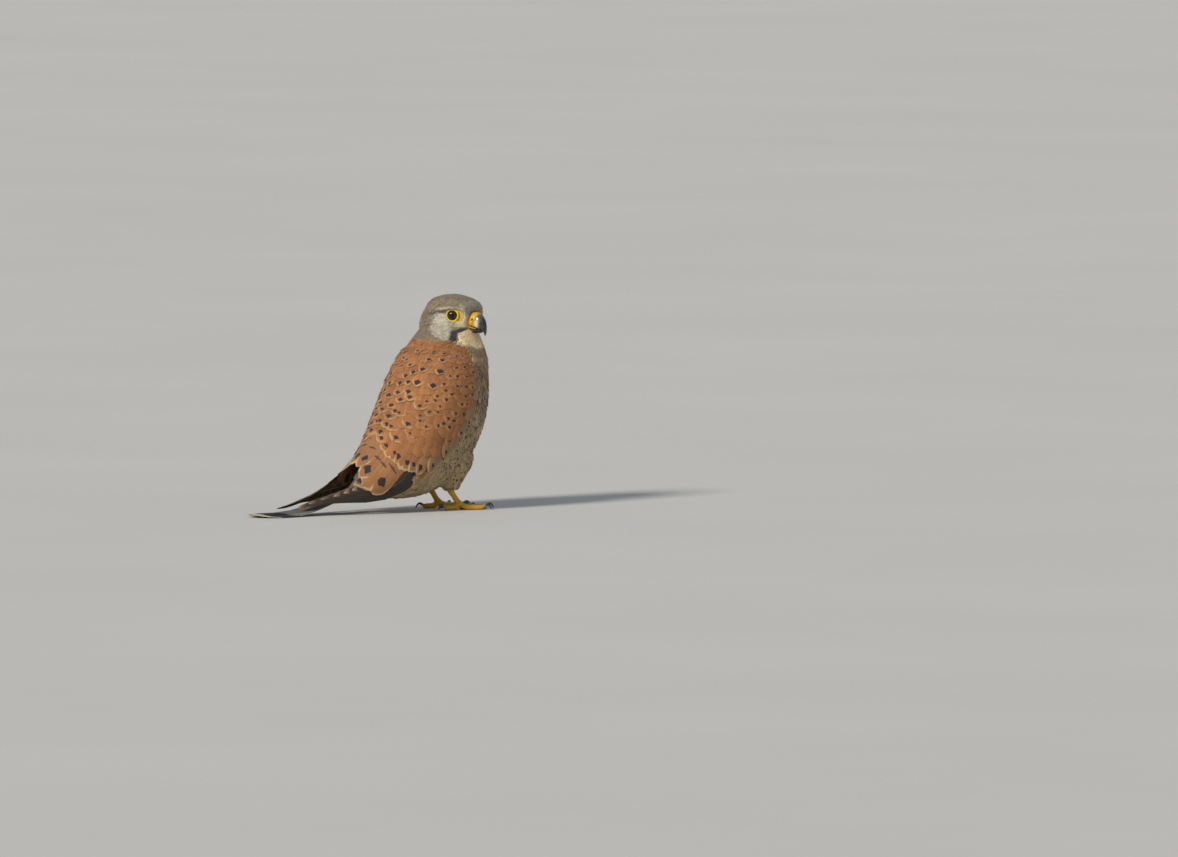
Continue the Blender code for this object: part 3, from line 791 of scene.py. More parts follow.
def wing_filler():
    """A closed body form out to the folded wings, so that the skin has no hollow beside the rump."""
    theta = np.radians(np.arange(0, 360, 7.5))
    turned = np.minimum(theta, 2 * math.pi - theta)
    side = np.where(theta > math.pi, -1.0, 1.0)
    rings = []
    for along in np.arange(-2.0, 168.0, 5.0):
        middle = place(along, 0.0, -2.0)
        taper = 1 - 0.62 * smooth(along, 118, 166) - 0.14 * smooth(along, 12, -4)
        rings.append(middle + (form(along, turned, side) - middle) * taper)
    return new_object("wing_filler", ring_mesh("wing_filler", rings))


def shape_lids(points):
    """Skin round each eye is drawn over the ball up to the lid's rim, and behind it within the rim."""
    rim = math.asin(min(0.95, bpy.context.scene.kestrel_sizes.eye_opening / 2 / EYE_RADIUS))
    spots = to_head(points)
    for *_, off, reach, turn in from_eyes(spots):
        way = off / np.maximum(reach, 1e-9)[:, None]
        upper = smooth(way[:, 2], 0.1, 0.6) * 0.25
        lid = EYE_RADIUS + 0.28 + (0.62 + upper) * np.exp(-((turn - rim - 0.16) / 0.16) ** 2)
        inside = EYE_RADIUS - 1.2
        wanted = inside + (lid - inside) * smooth(turn, rim - 0.05, rim + 0.05)
        hold = (1 - smooth(turn, rim + 0.42, rim + 0.85)) * (reach < 11.5)
        spots += way * ((wanted - reach) * hold)[:, None]
    return from_head(spots)


def refine_face(skin):
    """Finer faces round the eyes, and triangles everywhere."""
    bm = bmesh.new()
    bm.from_mesh(skin.data)
    middles = [Vector(from_head(eye_side(side)[0])) for side in SIDES]
    near = [e for e in bm.edges
            if min(((e.verts[0].co + e.verts[1].co) / 2 - m).length for m in middles) < 0.0105]
    bmesh.ops.subdivide_edges(bm, edges=near, cuts=2, use_grid_fill=True, smooth=0.3)
    bmesh.ops.triangulate(bm, faces=bm.faces)
    bm.to_mesh(skin.data)
    bm.free()


def build_skin():
    """The solids of flesh, filled out below the folded wings and in the eye sockets, as one skin."""
    copies = [new_object("flesh_" + name, frame["nodes"][name].data.copy()) for name in FILLED]
    skin = one_skin([*copies, wing_filler()], "skin", bpy.context.scene.kestrel_sizes.skin_grain, 16)
    in_edit_mode(skin, bpy.ops.mesh.separate, type="LOOSE")
    pieces = sorted(bpy.context.selected_objects, key=lambda piece: len(piece.data.vertices))
    skin = pieces.pop()
    for scrap in pieces:
        bpy.data.objects.remove(scrap)
    skin.name = "skin"
    refine_face(skin)
    mesh = skin.data
    points = read_mesh(mesh)
    points = shape_lids(points - read_mesh(mesh, "normal") * coat_depth(points)[:, None])
    set_points(mesh, points)
    for layer in list(mesh.uv_layers):
        mesh.uv_layers.remove(layer)
    for key, values in {**zone_marks(points, 0.45), "mark": (0.0, 0.0, 0.0)}.items():
        give_vector(mesh, key, *values)
    give_map(mesh, "vane", np.full((len(points), 2), (0.5, 0.55)))
    mesh.materials.clear()
    mesh.materials.append(material("plumage"))
    mesh.shade_smooth()
    settle(skin, "rufous", *FLESH)


# ---------------------------------------------------------------- coat grown on the skin

class Surface:
    """The skin as ground to grow feathers on."""

    def __init__(self, mesh):
        self.points = read_mesh(mesh)
        self.faces = corner_points(mesh).reshape(-1, 3)
        a, b, c = self.points[self.faces].swapaxes(0, 1)
        spread = np.cross(b - a, c - a)
        self.areas = np.linalg.norm(spread, axis=1) / 2
        normals = np.zeros_like(self.points)
        for _ in range(5):  # the first round gathers the faces' normals, and the others even them out
            for k in range(3):
                np.add.at(normals, self.faces[:, k], spread)
            normals = unit(normals)
            spread = normals[self.faces].sum(1)
            self.normals, normals = normals, normals * 0.5
        self.tree = BVHTree.FromPolygons(self.points.tolist(), self.faces.tolist())

    def scatter(self, spacing, keep, seed):
        """Places at least the spacing (metres, a function of points) apart where keep is true."""
        rng = np.random.default_rng(seed)
        middles = self.points[self.faces].mean(1)
        gap = spacing(middles)
        index = np.repeat(np.arange(len(gap)), rng.poisson(self.areas / gap**2 * 5.0 * keep(middles)))
        rng.shuffle(index)
        pull = rng.dirichlet((1, 1, 1), len(index))[:, :, None]
        spots, outs = ((values[self.faces[index]] * pull).sum(1) for values in (self.points, self.normals))
        cells = np.floor(spots / gap[index].max()).astype(int).tolist()
        filled, taken = {}, []
        for n, (cell, here, room) in enumerate(zip(cells, spots.tolist(), gap[index].tolist())):
            around = itertools.product(*((at - 1, at, at + 1) for at in cell))
            if all(math.dist(here, there) >= room for near in around for there in filled.get(near, ())):
                filled.setdefault(tuple(cell), []).append(here)
                taken.append(n)
        return spots[taken], unit(outs[taken])

    def nearest(self, points):
        """The skin's nearest points and their smooth outward directions."""
        hits = [self.tree.find_nearest(point) for point in points.tolist()]
        found, face = np.array([hit[0] for hit in hits]), self.faces[[hit[2] for hit in hits]]
        weights = 1 / (np.linalg.norm(self.points[face] - found[:, None], axis=2) + 1e-5)
        return found, unit((self.normals[face] * weights[:, :, None]).sum(1))


def lie_of_coat(points):
    """The way the feathers point: back from the bill over the head, then down the body."""
    f, _, u = to_head(points).T
    along, _, _ = body_place(points)
    slope = line_slope(np.maximum(along, 0))
    body = np.stack([0 * slope, np.cos(slope), -np.sin(slope)], 1)
    behind = smooth(f, 2, -24)
    sink = np.stack([0 * behind, 0 * behind, -0.25 - 0.9 * behind], 1)
    head = unit(unit(points - from_head((21.0, 0.0, 1.0))) + sink)
    share = (smooth(along, 14, -8) * smooth(u, -34, -14))[:, None]
    flow = unit(head * share + body * (1 - share))
    low = smooth(points[:, 2], 0.058, 0.045) * smooth(np.abs(points[:, 0]), 0.002, 0.008)
    low = low * (points[:, 1] < -0.045)
    return unit(flow + np.stack([0 * low, 0.05 * low, -1.3 * low], 1))


def along_skin(directions, outs):
    """Directions with what points out of the skin taken off."""
    return directions - outs * (directions * outs).sum(1, keepdims=True)


SHAPES = {  # places down a vane and how wide it is there
    "body": ([0.0, 0.18, 0.38, 0.56, 0.72, 0.83, 0.91, 0.965, 1.0],
             [0.35, 0.72, 0.94, 1.0, 0.96, 0.84, 0.64, 0.38, 0.10]),
    "small": ([0.0, 0.25, 0.5, 0.7, 0.85, 0.95, 1.0], [0.4, 0.8, 1.0, 0.94, 0.72, 0.42, 0.12]),
    "covert": ([0, 0.16, 0.34, 0.52, 0.69, 0.80, 0.89, 0.953, 0.989, 1],
               [0.45, 0.7, 0.9, 0.99, 1, 0.94, 0.77, 0.54, 0.28, 0.09]),
    "long": ([0, 0.2, 0.4, 0.6, 0.76, 0.84, 0.90, 0.95, 0.982, 1],
             [0.55, 0.85, 1, 1, 0.98, 0.92, 0.80, 0.60, 0.36, 0.10]),
    "quill": ([0, 0.12, 0.26, 0.4, 0.54, 0.68, 0.8, 0.9, 0.96, 1],
              [0.7, 0.92, 1, 0.99, 0.95, 0.87, 0.75, 0.56, 0.36, 0.1]),
    "rectrix": ([0, 0.12, 0.28, 0.44, 0.6, 0.76, 0.88, 0.95, 0.985, 1],
                [0.5, 0.7, 0.84, 0.93, 0.98, 1, 0.99, 0.9, 0.66, 0.3]),
}
COAT_END = 156  # from here along, the last coverts reach straight on over the tail's root


def grown_vanes(surface, roots, outs, length, width, lift, seed, shape):
    """Vanes that lie over the skin from their roots, in metres: (vanes, rows, cols, 3)."""
    rng = np.random.default_rng(seed)
    count = len(roots)
    rows, swell = np.array(SHAPES[shape])
    across = np.linspace(-1, 1, 5 if shape == "small" else 7)
    flow = unit(along_skin(lie_of_coat(roots), outs))
    flow = unit(flow + np.cross(flow, outs) * rng.normal(0, 0.12, (count, 1)))
    third = (length / 3)[:, None]
    stops, normals, flows = [roots], [outs], [flow]
    for _ in range(3):
        ahead = stops[-1] + flows[-1] * third
        spot, out = surface.nearest(ahead)
        lie = lie_of_coat(spot)
        free = (body_place(ahead)[0] > COAT_END)[:, None]
        spot, out = np.where(free, ahead, spot), np.where(free, normals[-1], out)
        carried = np.where(free, lie, along_skin(flows[-1], out))
        stops.append(spot)
        normals.append(out)
        flows.append(unit(unit(carried) * 0.75 + along_skin(lie, out) * 0.25))
    stops, normals, flows = (np.stack(values, 1) for values in (stops, normals, flows))
    low = np.minimum((rows * 3).astype(int), 2)
    t = (rows * 3 - low)[None, :, None]

    def between(values):
        return values[:, low] * (1 - t) + values[:, low + 1] * t

    bend = (flows[:, low] - flows[:, low + 1]) * third[:, None] * 0.5
    middle = between(stops) + t * (1 - t) * bend
    out, heading = unit(between(normals)), unit(between(flows))
    half = width[:, None] / 2 * swell[None]
    ragged = 1 + rng.normal(0, 0.07, (count, len(rows), len(across)))
    height = lift[:, None] * (0.10 + 0.90 * rows[None] ** 1.15) * (1 - 0.10 * smooth(rows, 0.85, 1.0))
    height = height * (1 + rng.normal(0, 0.08, (count, 1)))
    aside = half[:, :, None] * across * ragged
    rise = height[:, :, None] - half[:, :, None] * 0.24 * across**2 + 0.06 * MM
    fray = -0.14 * rng.random((count, 1, len(across))) ** 2 - 0.05 * across**2
    later = smooth(rows, 0.6, 1.0)[None, :, None] * fray * length[:, None, None]
    sheet = middle[:, :, None]
    for way, by in ((np.cross(heading, out), aside), (out, rise), (heading, later)):
        sheet = sheet + way[:, :, None] * by[..., None]
    return sheet, vane_map(across, rows)


def on_head(points):
    return smooth(round_body(points)[0], 8, -8) * smooth(to_head(points)[:, 2], -32, -20) >= 0.5


def bare_face(points):
    """Where no feather grows: the cere, the gape, the eyes and their rings."""
    spots = to_head(points)
    f, side, u = spots.T
    found = (f > 17.3) & (np.abs(side) < 7.2) & (u > -6.4) & (u < 8.2) | (bare_round_eye(spots, 4.9) > 0.4)
    for *_, reach, turn in from_eyes(spots):
        found |= (turn < 0.86) & (reach < 9.5)
    gape_at = np.interp(f, [14.2, 15.6, 18.3, 21], [0.4, -0.6, -3.7, -4.6])
    return found | (f > 14.2) & (np.abs(u - gape_at) < 0.6) & (np.abs(side) > 5)


def is_thigh(points):
    return (points[:, 2] < 0.062) & (points[:, 1] < -0.046) & (np.abs(points[:, 0]) > 0.003)


def face(ahead):
    """Keeps the head's feathered skin, ahead of the middle of the crown or behind it."""
    return lambda points: on_head(points) & ~bare_face(points) & ((to_head(points)[:, 0] > 3) == ahead)


def tract(low, high, front):
    """Keeps skin between two places along the body, in front below the wings' edge or behind above it."""
    def keep(points):
        along, theta = round_body(points)
        edge = lower_edge(along) - 12
        kept = (along > low) & (along <= high) & ~on_head(points)
        if front:
            return kept & (theta >= edge) & ~is_thigh(points)
        return kept & (theta < edge) & ((theta < 54) | (along < 8) | (along > 120))
    return keep


def head_length(points):
    """The length of the feathers on the head, in metres: least at the bill and round the eyes."""
    spots = to_head(points)
    f, _, u = spots.T
    near_eye = np.minimum.reduce([0.48 + 0.52 * smooth(reach, 8, 14) for *_, reach, _ in from_eyes(spots)])
    away = np.linalg.norm(spots - np.array((21.0, 0, 0)), axis=1)
    return ((1.5 + 0.088 * away) * near_eye + 0.7 * smooth(f, 9, 14) * smooth(u, 3.5, 7)) * MM


def body_length(points):
    along, theta = round_body(points)
    length = np.interp(along, [-30, -10, 10, 40, 90, 120, 150, 185], [6.5, 8, 10, 12, 14, 15.5, 19, 21])
    return (length + 1.5 * smooth(theta, 90, 150) * smooth(along, 20, 80)) * MM


def thigh_length(points):
    return body_length(points) * 0.8


def dress_head(points, rng):
    """The spot, streak and fringe of each feather of the head."""
    f, _, u = to_head(points).T
    chance = rng.random(len(points))
    crown = np.clip(smooth(u, 6, 11) + smooth(f, -3, -12), 0, 1) * np.where(chance < 0.5, 0.42, 0.08)
    ear = smooth(u, 4, 0) * smooth(f, 8, 0) * 0.6 * np.where(chance < 0.3, 0.5, 0.0)
    return 0.0, np.maximum(crown, ear), 0.16


def dress_back(points, rng):
    along, _ = round_body(points)
    chance = rng.random(len(points))
    shown = smooth(along, 0, 10) * smooth(along, 122, 112)
    return np.where(chance < 0.10, rng.uniform(0.25, 0.4, len(points)), 0.0) * shown, 0.0, 0.22 * shown


def dress_front(points, rng):
    along, theta = round_body(points)
    chance = rng.random(len(points))
    upper = smooth(along, 4, 16) * smooth(along, 60, 40)
    lower = smooth(along, 36, 52) * smooth(along, 112, 92) * smooth(theta, 172, 150)
    streak = np.where(chance < 0.85, rng.uniform(0.5, 0.95, len(points)), 0.0) * upper
    return np.where(chance < 0.55, rng.uniform(0.35, 0.7, len(points)), 0.0) * lower, streak, 0.20


def grown_piece(name, surface, keep, length_of, seed, dress, shape="body", gap=0.25, plump=0.52, lift=1.5):
    """Feathers that grow from the skin where keep is true; gap and plump are shares of their length."""
    roots, outs = surface.scatter(lambda points: length_of(points) * gap, keep, seed)
    rng = np.random.default_rng(seed + 1)
    chosen = keep(roots) > rng.random(len(roots))
    roots, outs = roots[chosen], outs[chosen]
    count = len(roots)
    length = length_of(roots) * rng.uniform(0.9, 1.12, count)
    width = length * plump * rng.uniform(0.9, 1.1, count)
    height = np.minimum(lift * MM, length * 0.16) * rng.uniform(0.85, 1.15, count)
    f, _, u = to_head(roots).T
    along, theta = round_body(roots)
    under_wing = bump_of(theta - lower_edge(along), 3, 6, 9) * smooth(along, 8, 20)
    height = height * (1 + 1.3 * smooth(f, 11, 16) * smooth(u, 2, 6)) * (1 - 0.55 * under_wing)
    tops, uv = grown_vanes(surface, roots, outs, length, width, height, seed + 2, shape)
    middle = tops[:, -2, tops.shape[2] // 2]
    mark = dress(middle, rng)
    tone = rng.random(count)
    zone = zone_marks(middle, tone)
    marks = {"zone_a": zone["zone_a"], "zone_b": (zone["zone_b"][0], 0.0, tone), "mark": mark}
    return feather_piece(name, tops, uv, marks, 0.003, roots=roots)


FINE = {"shape": "small", "gap": 0.275, "plump": 0.46, "lift": 1.0}
TRACTS = (
    ("coat_face", "grey_head", face(True), head_length, dress_head, FINE),
    ("coat_nape", "grey_head", face(False), head_length, dress_head, FINE),
    ("coat_back", "rufous", tract(-40, 152, front=False), body_length, dress_back, {}),
    ("coat_breast", "buff", tract(-40, 62, front=True), body_length, dress_front, {}),
    ("coat_belly", "buff", tract(62, 152, front=True), body_length, dress_front, {}),
    ("coat_thighs", "buff", is_thigh, thigh_length, dress_front, {}),
)


# ---------------------------------------------------------------- feathers laid in rows on the wings

ARC_ALONG = np.arange(-12.0, 262.0, 2.0)
ARC_TURN = np.linspace(0, math.pi, 121)
ARC_STEP = 0.5


def arc_tables():
    """Millimetres from the back's middle round the form for each angle, and the angle for each distance."""
    steps = np.linalg.norm(np.diff(form(ARC_ALONG[:, None], ARC_TURN[None, :], 1.0) / MM, axis=1), axis=2)
    arcs = np.concatenate([np.zeros((len(ARC_ALONG), 1)), np.cumsum(steps, axis=1)], 1)
    return arcs, np.stack([np.interp(np.arange(0, 150, ARC_STEP), row, ARC_TURN) for row in arcs])


ARCS, TURNS = arc_tables()


def read_grid(table, along, column):
    row = np.clip((along - ARC_ALONG[0]) / 2.0, 0, table.shape[0] - 1.001)
    column = np.clip(column, 0, table.shape[1] - 1.001)
    i, j = row.astype(int), column.astype(int)
    a, b = row - i, column - j
    return ((table[i, j] * (1 - b) + table[i, j + 1] * b) * (1 - a)
            + (table[i + 1, j] * (1 - b) + table[i + 1, j + 1] * b) * a)


def arc_of(along, turn):
    """Signed millimetres from the back's middle to an angle in degrees."""
    return np.sign(turn) * read_grid(ARCS, along, np.radians(np.abs(turn)) / ARC_TURN[1])


def turn_of(along, arc):
    return np.sign(arc) * np.degrees(read_grid(TURNS, along, np.abs(arc) / ARC_STEP))


def edge_arc(along):
    return arc_of(along, lower_edge(along))


def pairs(first, second):
    """Two rows of numbers, or a number and a row, as (count, 2)."""
    return np.stack(np.broadcast_arrays(first, second), 1).astype(float)


def by_turn(along, turn):
    """Places of the form, given by their angle, as (along, arc)."""
    return pairs(along, arc_of(along, turn))


def on_form(side, shape, places, across, half, height, camber, tilt=0.0):
    """Vanes whose grids lie at those places of the form. height is (vanes, 2), at root and tip."""
    rows = np.array(SHAPES[shape][0], float)
    along = places[..., 0]
    theta = np.radians(turn_of(along, places[..., 1]))
    down = form(along + 0.5, theta, side) - form(along - 0.5, theta, side)
    turn = form(along, theta + 0.01, side) - form(along, theta - 0.01, side)
    level = height[:, :1] + (height[:, 1:] - height[:, :1]) * rows[None]
    rise = level[:, :, None] - camber * half[:, :, None] * across**2 - tilt - 4.0 * smooth(along, 12, -4)
    tops = form(along, theta, side) + unit(np.cross(turn, down)) * side * rise[..., None] * MM
    uv = vane_map(across, rows)
    return (tops[:, :, ::-1], uv[:, ::-1]) if side < 0 else (tops, uv)


def laid_vanes(side, root, tip, width, height, shape, cols, outer, camber, rng):
    """Vanes laid straight on the form. root and tip are (vanes, 2) of along and arc; outer is the outer web's
    share of the width."""
    rows, swell = np.array(SHAPES[shape], float)
    across = np.linspace(-1, 1, cols)
    way = unit(tip - root)
    cross = np.stack([-way[:, 1], way[:, 0]], 1)
    half = width[:, None] * swell[None] * (1 + rng.normal(0, 0.035, (len(width), len(rows))))
    offset = half[:, :, None] * (np.where(across > 0, outer, 1 - outer) * across)
    # Each strip of a vane ends a little farther on or back.
    fray = rng.normal(0, 0.045, (len(width), 1, cols)) * smooth(rows, 0.5, 1.0)[None, :, None]
    places = (root[:, None] + (tip - root)[:, None] * rows[None, :, None])[:, :, None]
    places = places + cross[:, None, None] * offset[..., None]
    places = places + way[:, None, None] * (fray * width[:, None, None])[..., None]
    return on_form(side, shape, places, across, half, height, camber)


WEB = np.array([-1, -0.66, -0.33, 0, 0.33, 0.66, 1.0])


def laid_along(side, axes, width, height, outer, rng):
    """Long quills laid on the form along given axes: axes is (vanes, 2, rows) of along and arc."""
    rows, swell = np.array(SHAPES["quill"], float)
    axes = np.moveaxis(np.array(axes), 1, 2)
    way = unit(np.gradient(axes, axis=1))
    cross = np.stack([-way[..., 1], way[..., 0]], -1)
    half = width[:, None] * swell[None] * (1 + rng.normal(0, 0.015, (len(width), len(rows))))
    share = (np.where(WEB > 0, outer[:, None], 1 - outer[:, None]) * WEB)[:, None]
    places = axes[:, :, None] + cross[:, :, None] * (half[:, :, None] * share)[..., None]
    return on_form(side, "quill", places, WEB, half, height, 0.05, share * 0.12)


def by_spots(side, along, turn, wander, lean, length, height, cols, rng):
    """Feathers laid by their dark spots, which lie a sixth of their length from the tip."""
    spots = by_turn(along, turn) + wander
    way = unit(pairs(1.0, lean))
    return laid_vanes(side, spots - way * (0.83 * length)[:, None], spots + way * (0.17 * length)[:, None],
                      0.62 * length, height, "covert", cols, 0.5, 0.04, rng)


def marks_of(tone, spot, fringe, rufous=1.0, dark=0.0, streak=0.0):
    """What the plumage material reads of rufous feathers, with 0 for what they lack."""
    return {"zone_a": (rufous, 0.0, 0.0), "zone_b": (dark, 0.0, tone), "mark": (spot, streak, fringe)}


def tones(rng, middle, spread, count):
    return np.clip(rng.normal(middle, spread, count), 0, 1)


COVERT_SPOTS = np.array([  # along and angle
    (14, 88), (26, 70), (24, 80), (21, 93), (34, 67), (29, 95), (32, 84), (28, 103), (40, 70), (41, 79),
    (47, 63), (38, 97), (34, 105), (55, 53), (52, 62), (47, 75), (46, 95), (44, 102), (56, 70), (65, 61),
    (61, 70), (56, 92), (63, 85), (77, 55), (72, 52), (69, 82), (73, 77), (80, 66), (69, 91), (95, 52),
    (68, 108), (63, 93), (6, 72), (9, 97), (17, 76), (15, 100), (4, 84), (53, 101),
    (79, 98), (88, 104)], float)
BACK_SPOTS = np.array([  # along, angle and spot width of the back's middle feathers
    (12, 12, 3.4), (20, 4, 3.8), (24, 17, 4.2), (31, 24, 5.0), (36, 14, 5.4), (42, 22, 5.6), (44, 8, 5.2),
    (51, 25, 6.2), (52, 13, 6.0), (58, 1, 6.2), (62, 20, 6.2), (68, 11, 7.0), (76, 18, 6.6), (77, 2, 6.6),
    (86, 11, 7.6), (95, 3, 7.0), (97, 16, 7.6), (108, 9, 7.6)], float)
SHOULDER_SPOTS = np.array([  # the same of the two rows of shoulder feathers
    (9, 39, 4.6), (17, 36, 5.4), (27, 34, 6.2), (39, 34, 7.0), (56, 32, 5.6), (78, 27, 5.2), (98, 25, 6.0),
    (116, 18, 7.2), (8, 53, 4.4), (15, 54, 4.8), (25, 56, 7.0), (39, 54, 7.0), (62, 47, 4.8), (86, 43, 7.2),
    (107, 38, 6.4), (122, 31, 6.0)], float)
SHOULDER_LENGTHS = np.concatenate([np.linspace(9, 30, 8), np.linspace(9, 32, 8)])
COVERT_ROWS = (0, 4, 8, 12.5, 17.5, 23, 29, 35, 41.5, 48, 55, 62, 70, 78, 87, 96)
TERTIALS = np.array([  # along and angle of the tip, length, width and spot
    (161, 91, 62, 24, 0.46), (166, 65, 64, 24, 0.0), (163, 39, 60, 22, 0.50), (154, 13, 56, 20, 0.46)], float)


def covert_rows(rng, side):
    """The small coverts in overlapping rows from the wing's bend back, each row's tips over the next one's
    roots. The feather nearest to each place of COVERT_SPOTS is moved there and has the spot."""
    plan = []
    for number, level in enumerate(COVERT_ROWS):
        length = 9.5 + 0.85 * number
        width = length * 0.62
        step = width * 0.60
        low = edge_arc(level) - 0.4
        high = arc_of(level, np.interp(level, [0, 8, 20, 95], [52, 46, 44, 36]))
        for arc in np.arange(low - (number % 2) * step / 2, high - step, -step):
            slant = (0.10 + 0.024 * number) * (turn_of(level, arc) - 75)
            plan.append((level + 0.45 * length - slant + rng.normal(0, 0.9), arc + rng.normal(0, 0.6),
                         length * rng.uniform(0.88, 1.12), width * rng.uniform(0.88, 1.1), number))
    tip, arc, length, width, number = np.array(plan, float).T
    count = len(plan)
    lean = rng.normal(0.10, 0.08, count)
    tips = pairs(tip, arc)
    marked = np.zeros(count)
    wanted = COVERT_SPOTS + rng.normal(0, 0.3 if side < 0 else 1.8, COVERT_SPOTS.shape)
    for spot in by_turn(*wanted.T):
        here = tips - pairs(0.17 * length, 0.017 * length)
        gap = np.linalg.norm(here - spot, axis=1) + 100 * marked
        best = gap.argmin()
        if gap[best] < 9:
            tips[best] += spot - here[best]
            marked[best] = 1
    height = pairs(-1.75, -0.62 + rng.normal(0, 0.06, count))
    roots = tips - pairs(length, lean * length)
    laid = laid_vanes(side, roots, tips, width, height, "covert", 7, 0.5, 0.035, rng)
    inner = smooth(edge_arc(tips[:, 0]) - tips[:, 1], 1.0, 5.0)
    spot = (2.7 + 0.10 * number) / width * rng.uniform(0.85, 1.15, count) * marked
    tone = np.clip(rng.normal(0.64, 0.22, count) - 0.25 * (1 - inner), 0, 1)
    return *laid, marks_of(tone, spot, 0.10 + 0.25 * marked, 0.35 + 0.65 * inner, 0.10 * (1 - inner)), 0.006


def wing_rows(rng, side):
    """Batches of the wing coverts, the back's and the shoulder's feathers and the innermost quills."""
    batches = [covert_rows(rng, side)]

    along, turn, dark = BACK_SPOTS.T
    length = 8.5 + 0.21 * along
    laid = by_spots(side, along, turn, rng.normal(0, 0.3 if side > 0 else 1.5, (len(along), 2)),
                    0.05 + rng.normal(0, 0.05, len(along)), length,
                    pairs(-1.8, -0.15 - 0.002 * along - 0.25 * (turn < 8)), 7, rng)
    batches.append((*laid, marks_of(tones(rng, 0.5, 0.25, len(along)), dark / (0.62 * length), 0.5), 0.015))

    along, turn, dark = SHOULDER_SPOTS.T
    length = SHOULDER_LENGTHS
    laid = by_spots(side, along, turn, rng.normal(0, 0.9 if side > 0 else 0.25, (len(along), 2)),
                    0.12 - 0.002 * along + rng.normal(0, 0.03, len(along)), length,
                    pairs(-1.7, 0.10 - 0.003 * along), 9, rng)
    tone = tones(rng, 0.5, 0.25, len(along))
    spot = dark / (length * 0.62) * rng.uniform(0.92, 1.08, len(along))
    batches.append((*laid, marks_of(tone, spot, 0.60), 0.02))

    # The long coverts with a pale tip, the outer ones under the inner.
    turn = np.linspace(44, 106, 8)
    tips = by_turn(np.interp(turn, [44, 72, 81, 97, 108], [131, 128, 126, 118, 106]), turn)
    length = np.interp(turn, [44, 106], [42, 30])
    laid = laid_vanes(side, tips - pairs(length, -0.02 * length), tips, np.full(8, 14.0),
                      pairs(-2.2, np.linspace(-0.30, -0.85, 8)), "long", 9, 0.42, 0.025, rng)
    batches.append((*laid, marks_of(
        tones(rng, 0.5, 0.2, 8), np.array([0.0, 0.30, 0.42, 0.0, 0.40, 0.34, 0.42, 0.30]), 1.0,
        np.interp(turn, [46, 92, 106], [1, 0.9, 0.5]), np.interp(turn, [92, 106], [0.0, 0.2]), -0.06), 0.03))

    # The innermost quills, rufous with large dark drops and pale edges, stepped over the arm's quills. The
    # left wing's lie a little lower, under the right one's.
    along, turn, length, width, spot = TERTIALS.T
    under = float(side > 0)
    tips = by_turn(along - 2.5 * under, turn)
    laid = laid_vanes(side, tips - pairs(length, -0.03 * length), tips, width,
                      pairs(-1.55, np.linspace(-0.40, 0.10, 4)) - 0.3 * under, "long", 9, 0.46, 0.02, rng)
    batches.append((*laid, marks_of(rng.uniform(0.3, 0.6, 4), spot, 1.0, 0.9, 0.05, -0.13), 0.04))
    return batches


def quill_batches(rng, side):
    """The long dark quills of one folded wing: the hand's ten and, over their roots, the arm's ten."""
    reach = 229.0 if side < 0 else 240.0
    rows = np.array(SHAPES["quill"][0])
    short = np.array([67, 60, 53, 45, 36, 25, 12, 1, 0, 7.0])
    inward, outer_web = np.linspace(19.0, 0.3, 10), np.linspace(0.36, 0.24, 10)
    width = np.linspace(17, 13, 10)
    axes = []
    for k in range(10):
        along = 98.0 + (reach - short[k] - 98.0) * rows
        squeeze = np.interp(along, [150, 200, 245], [1.0, 0.86, 0.55])
        inner = inward[k] * squeeze + width[k] * outer_web[k] * np.interp(rows, [0, 0.8, 1], [1, 0.8, 0.45])
        axes.append((along, edge_arc(along) - inner))
    laid = laid_along(side, axes, width, pairs(np.linspace(-2.2, -2.7, 10), np.linspace(-1.25, -2.15, 10)),
                      outer_web, rng)
    marks = {"mark": (0.55, 0.10, rng.random(10)), "zone_a": (0.12, np.linspace(0.7, 0.2, 10), 0.0)}
    hand = (*laid, marks, 0.07, 0.13)

    tip_at = np.array([172, 171, 170, 169, 168, 167, 166, 164, 162, 159.0])[:, None]
    turns = np.linspace(50, 92, 10)[:, None]
    arc_root, arc_tip = arc_of(88.0, turns - 4), arc_of(tip_at, turns)
    axes = np.stack([88 + (tip_at - 88) * rows, arc_root + (arc_tip - arc_root) * rows], 1)
    laid = laid_along(side, axes, np.full(10, 14.0), pairs(-2.15, np.linspace(-0.88, -1.15, 10)),
                      np.full(10, 0.38), rng)
    return [hand, (*laid, {"mark": (0.75, 0.10, rng.random(10)), "zone_a": (0.30, 0.8, 0.0)}, 0.06, 0.12)]


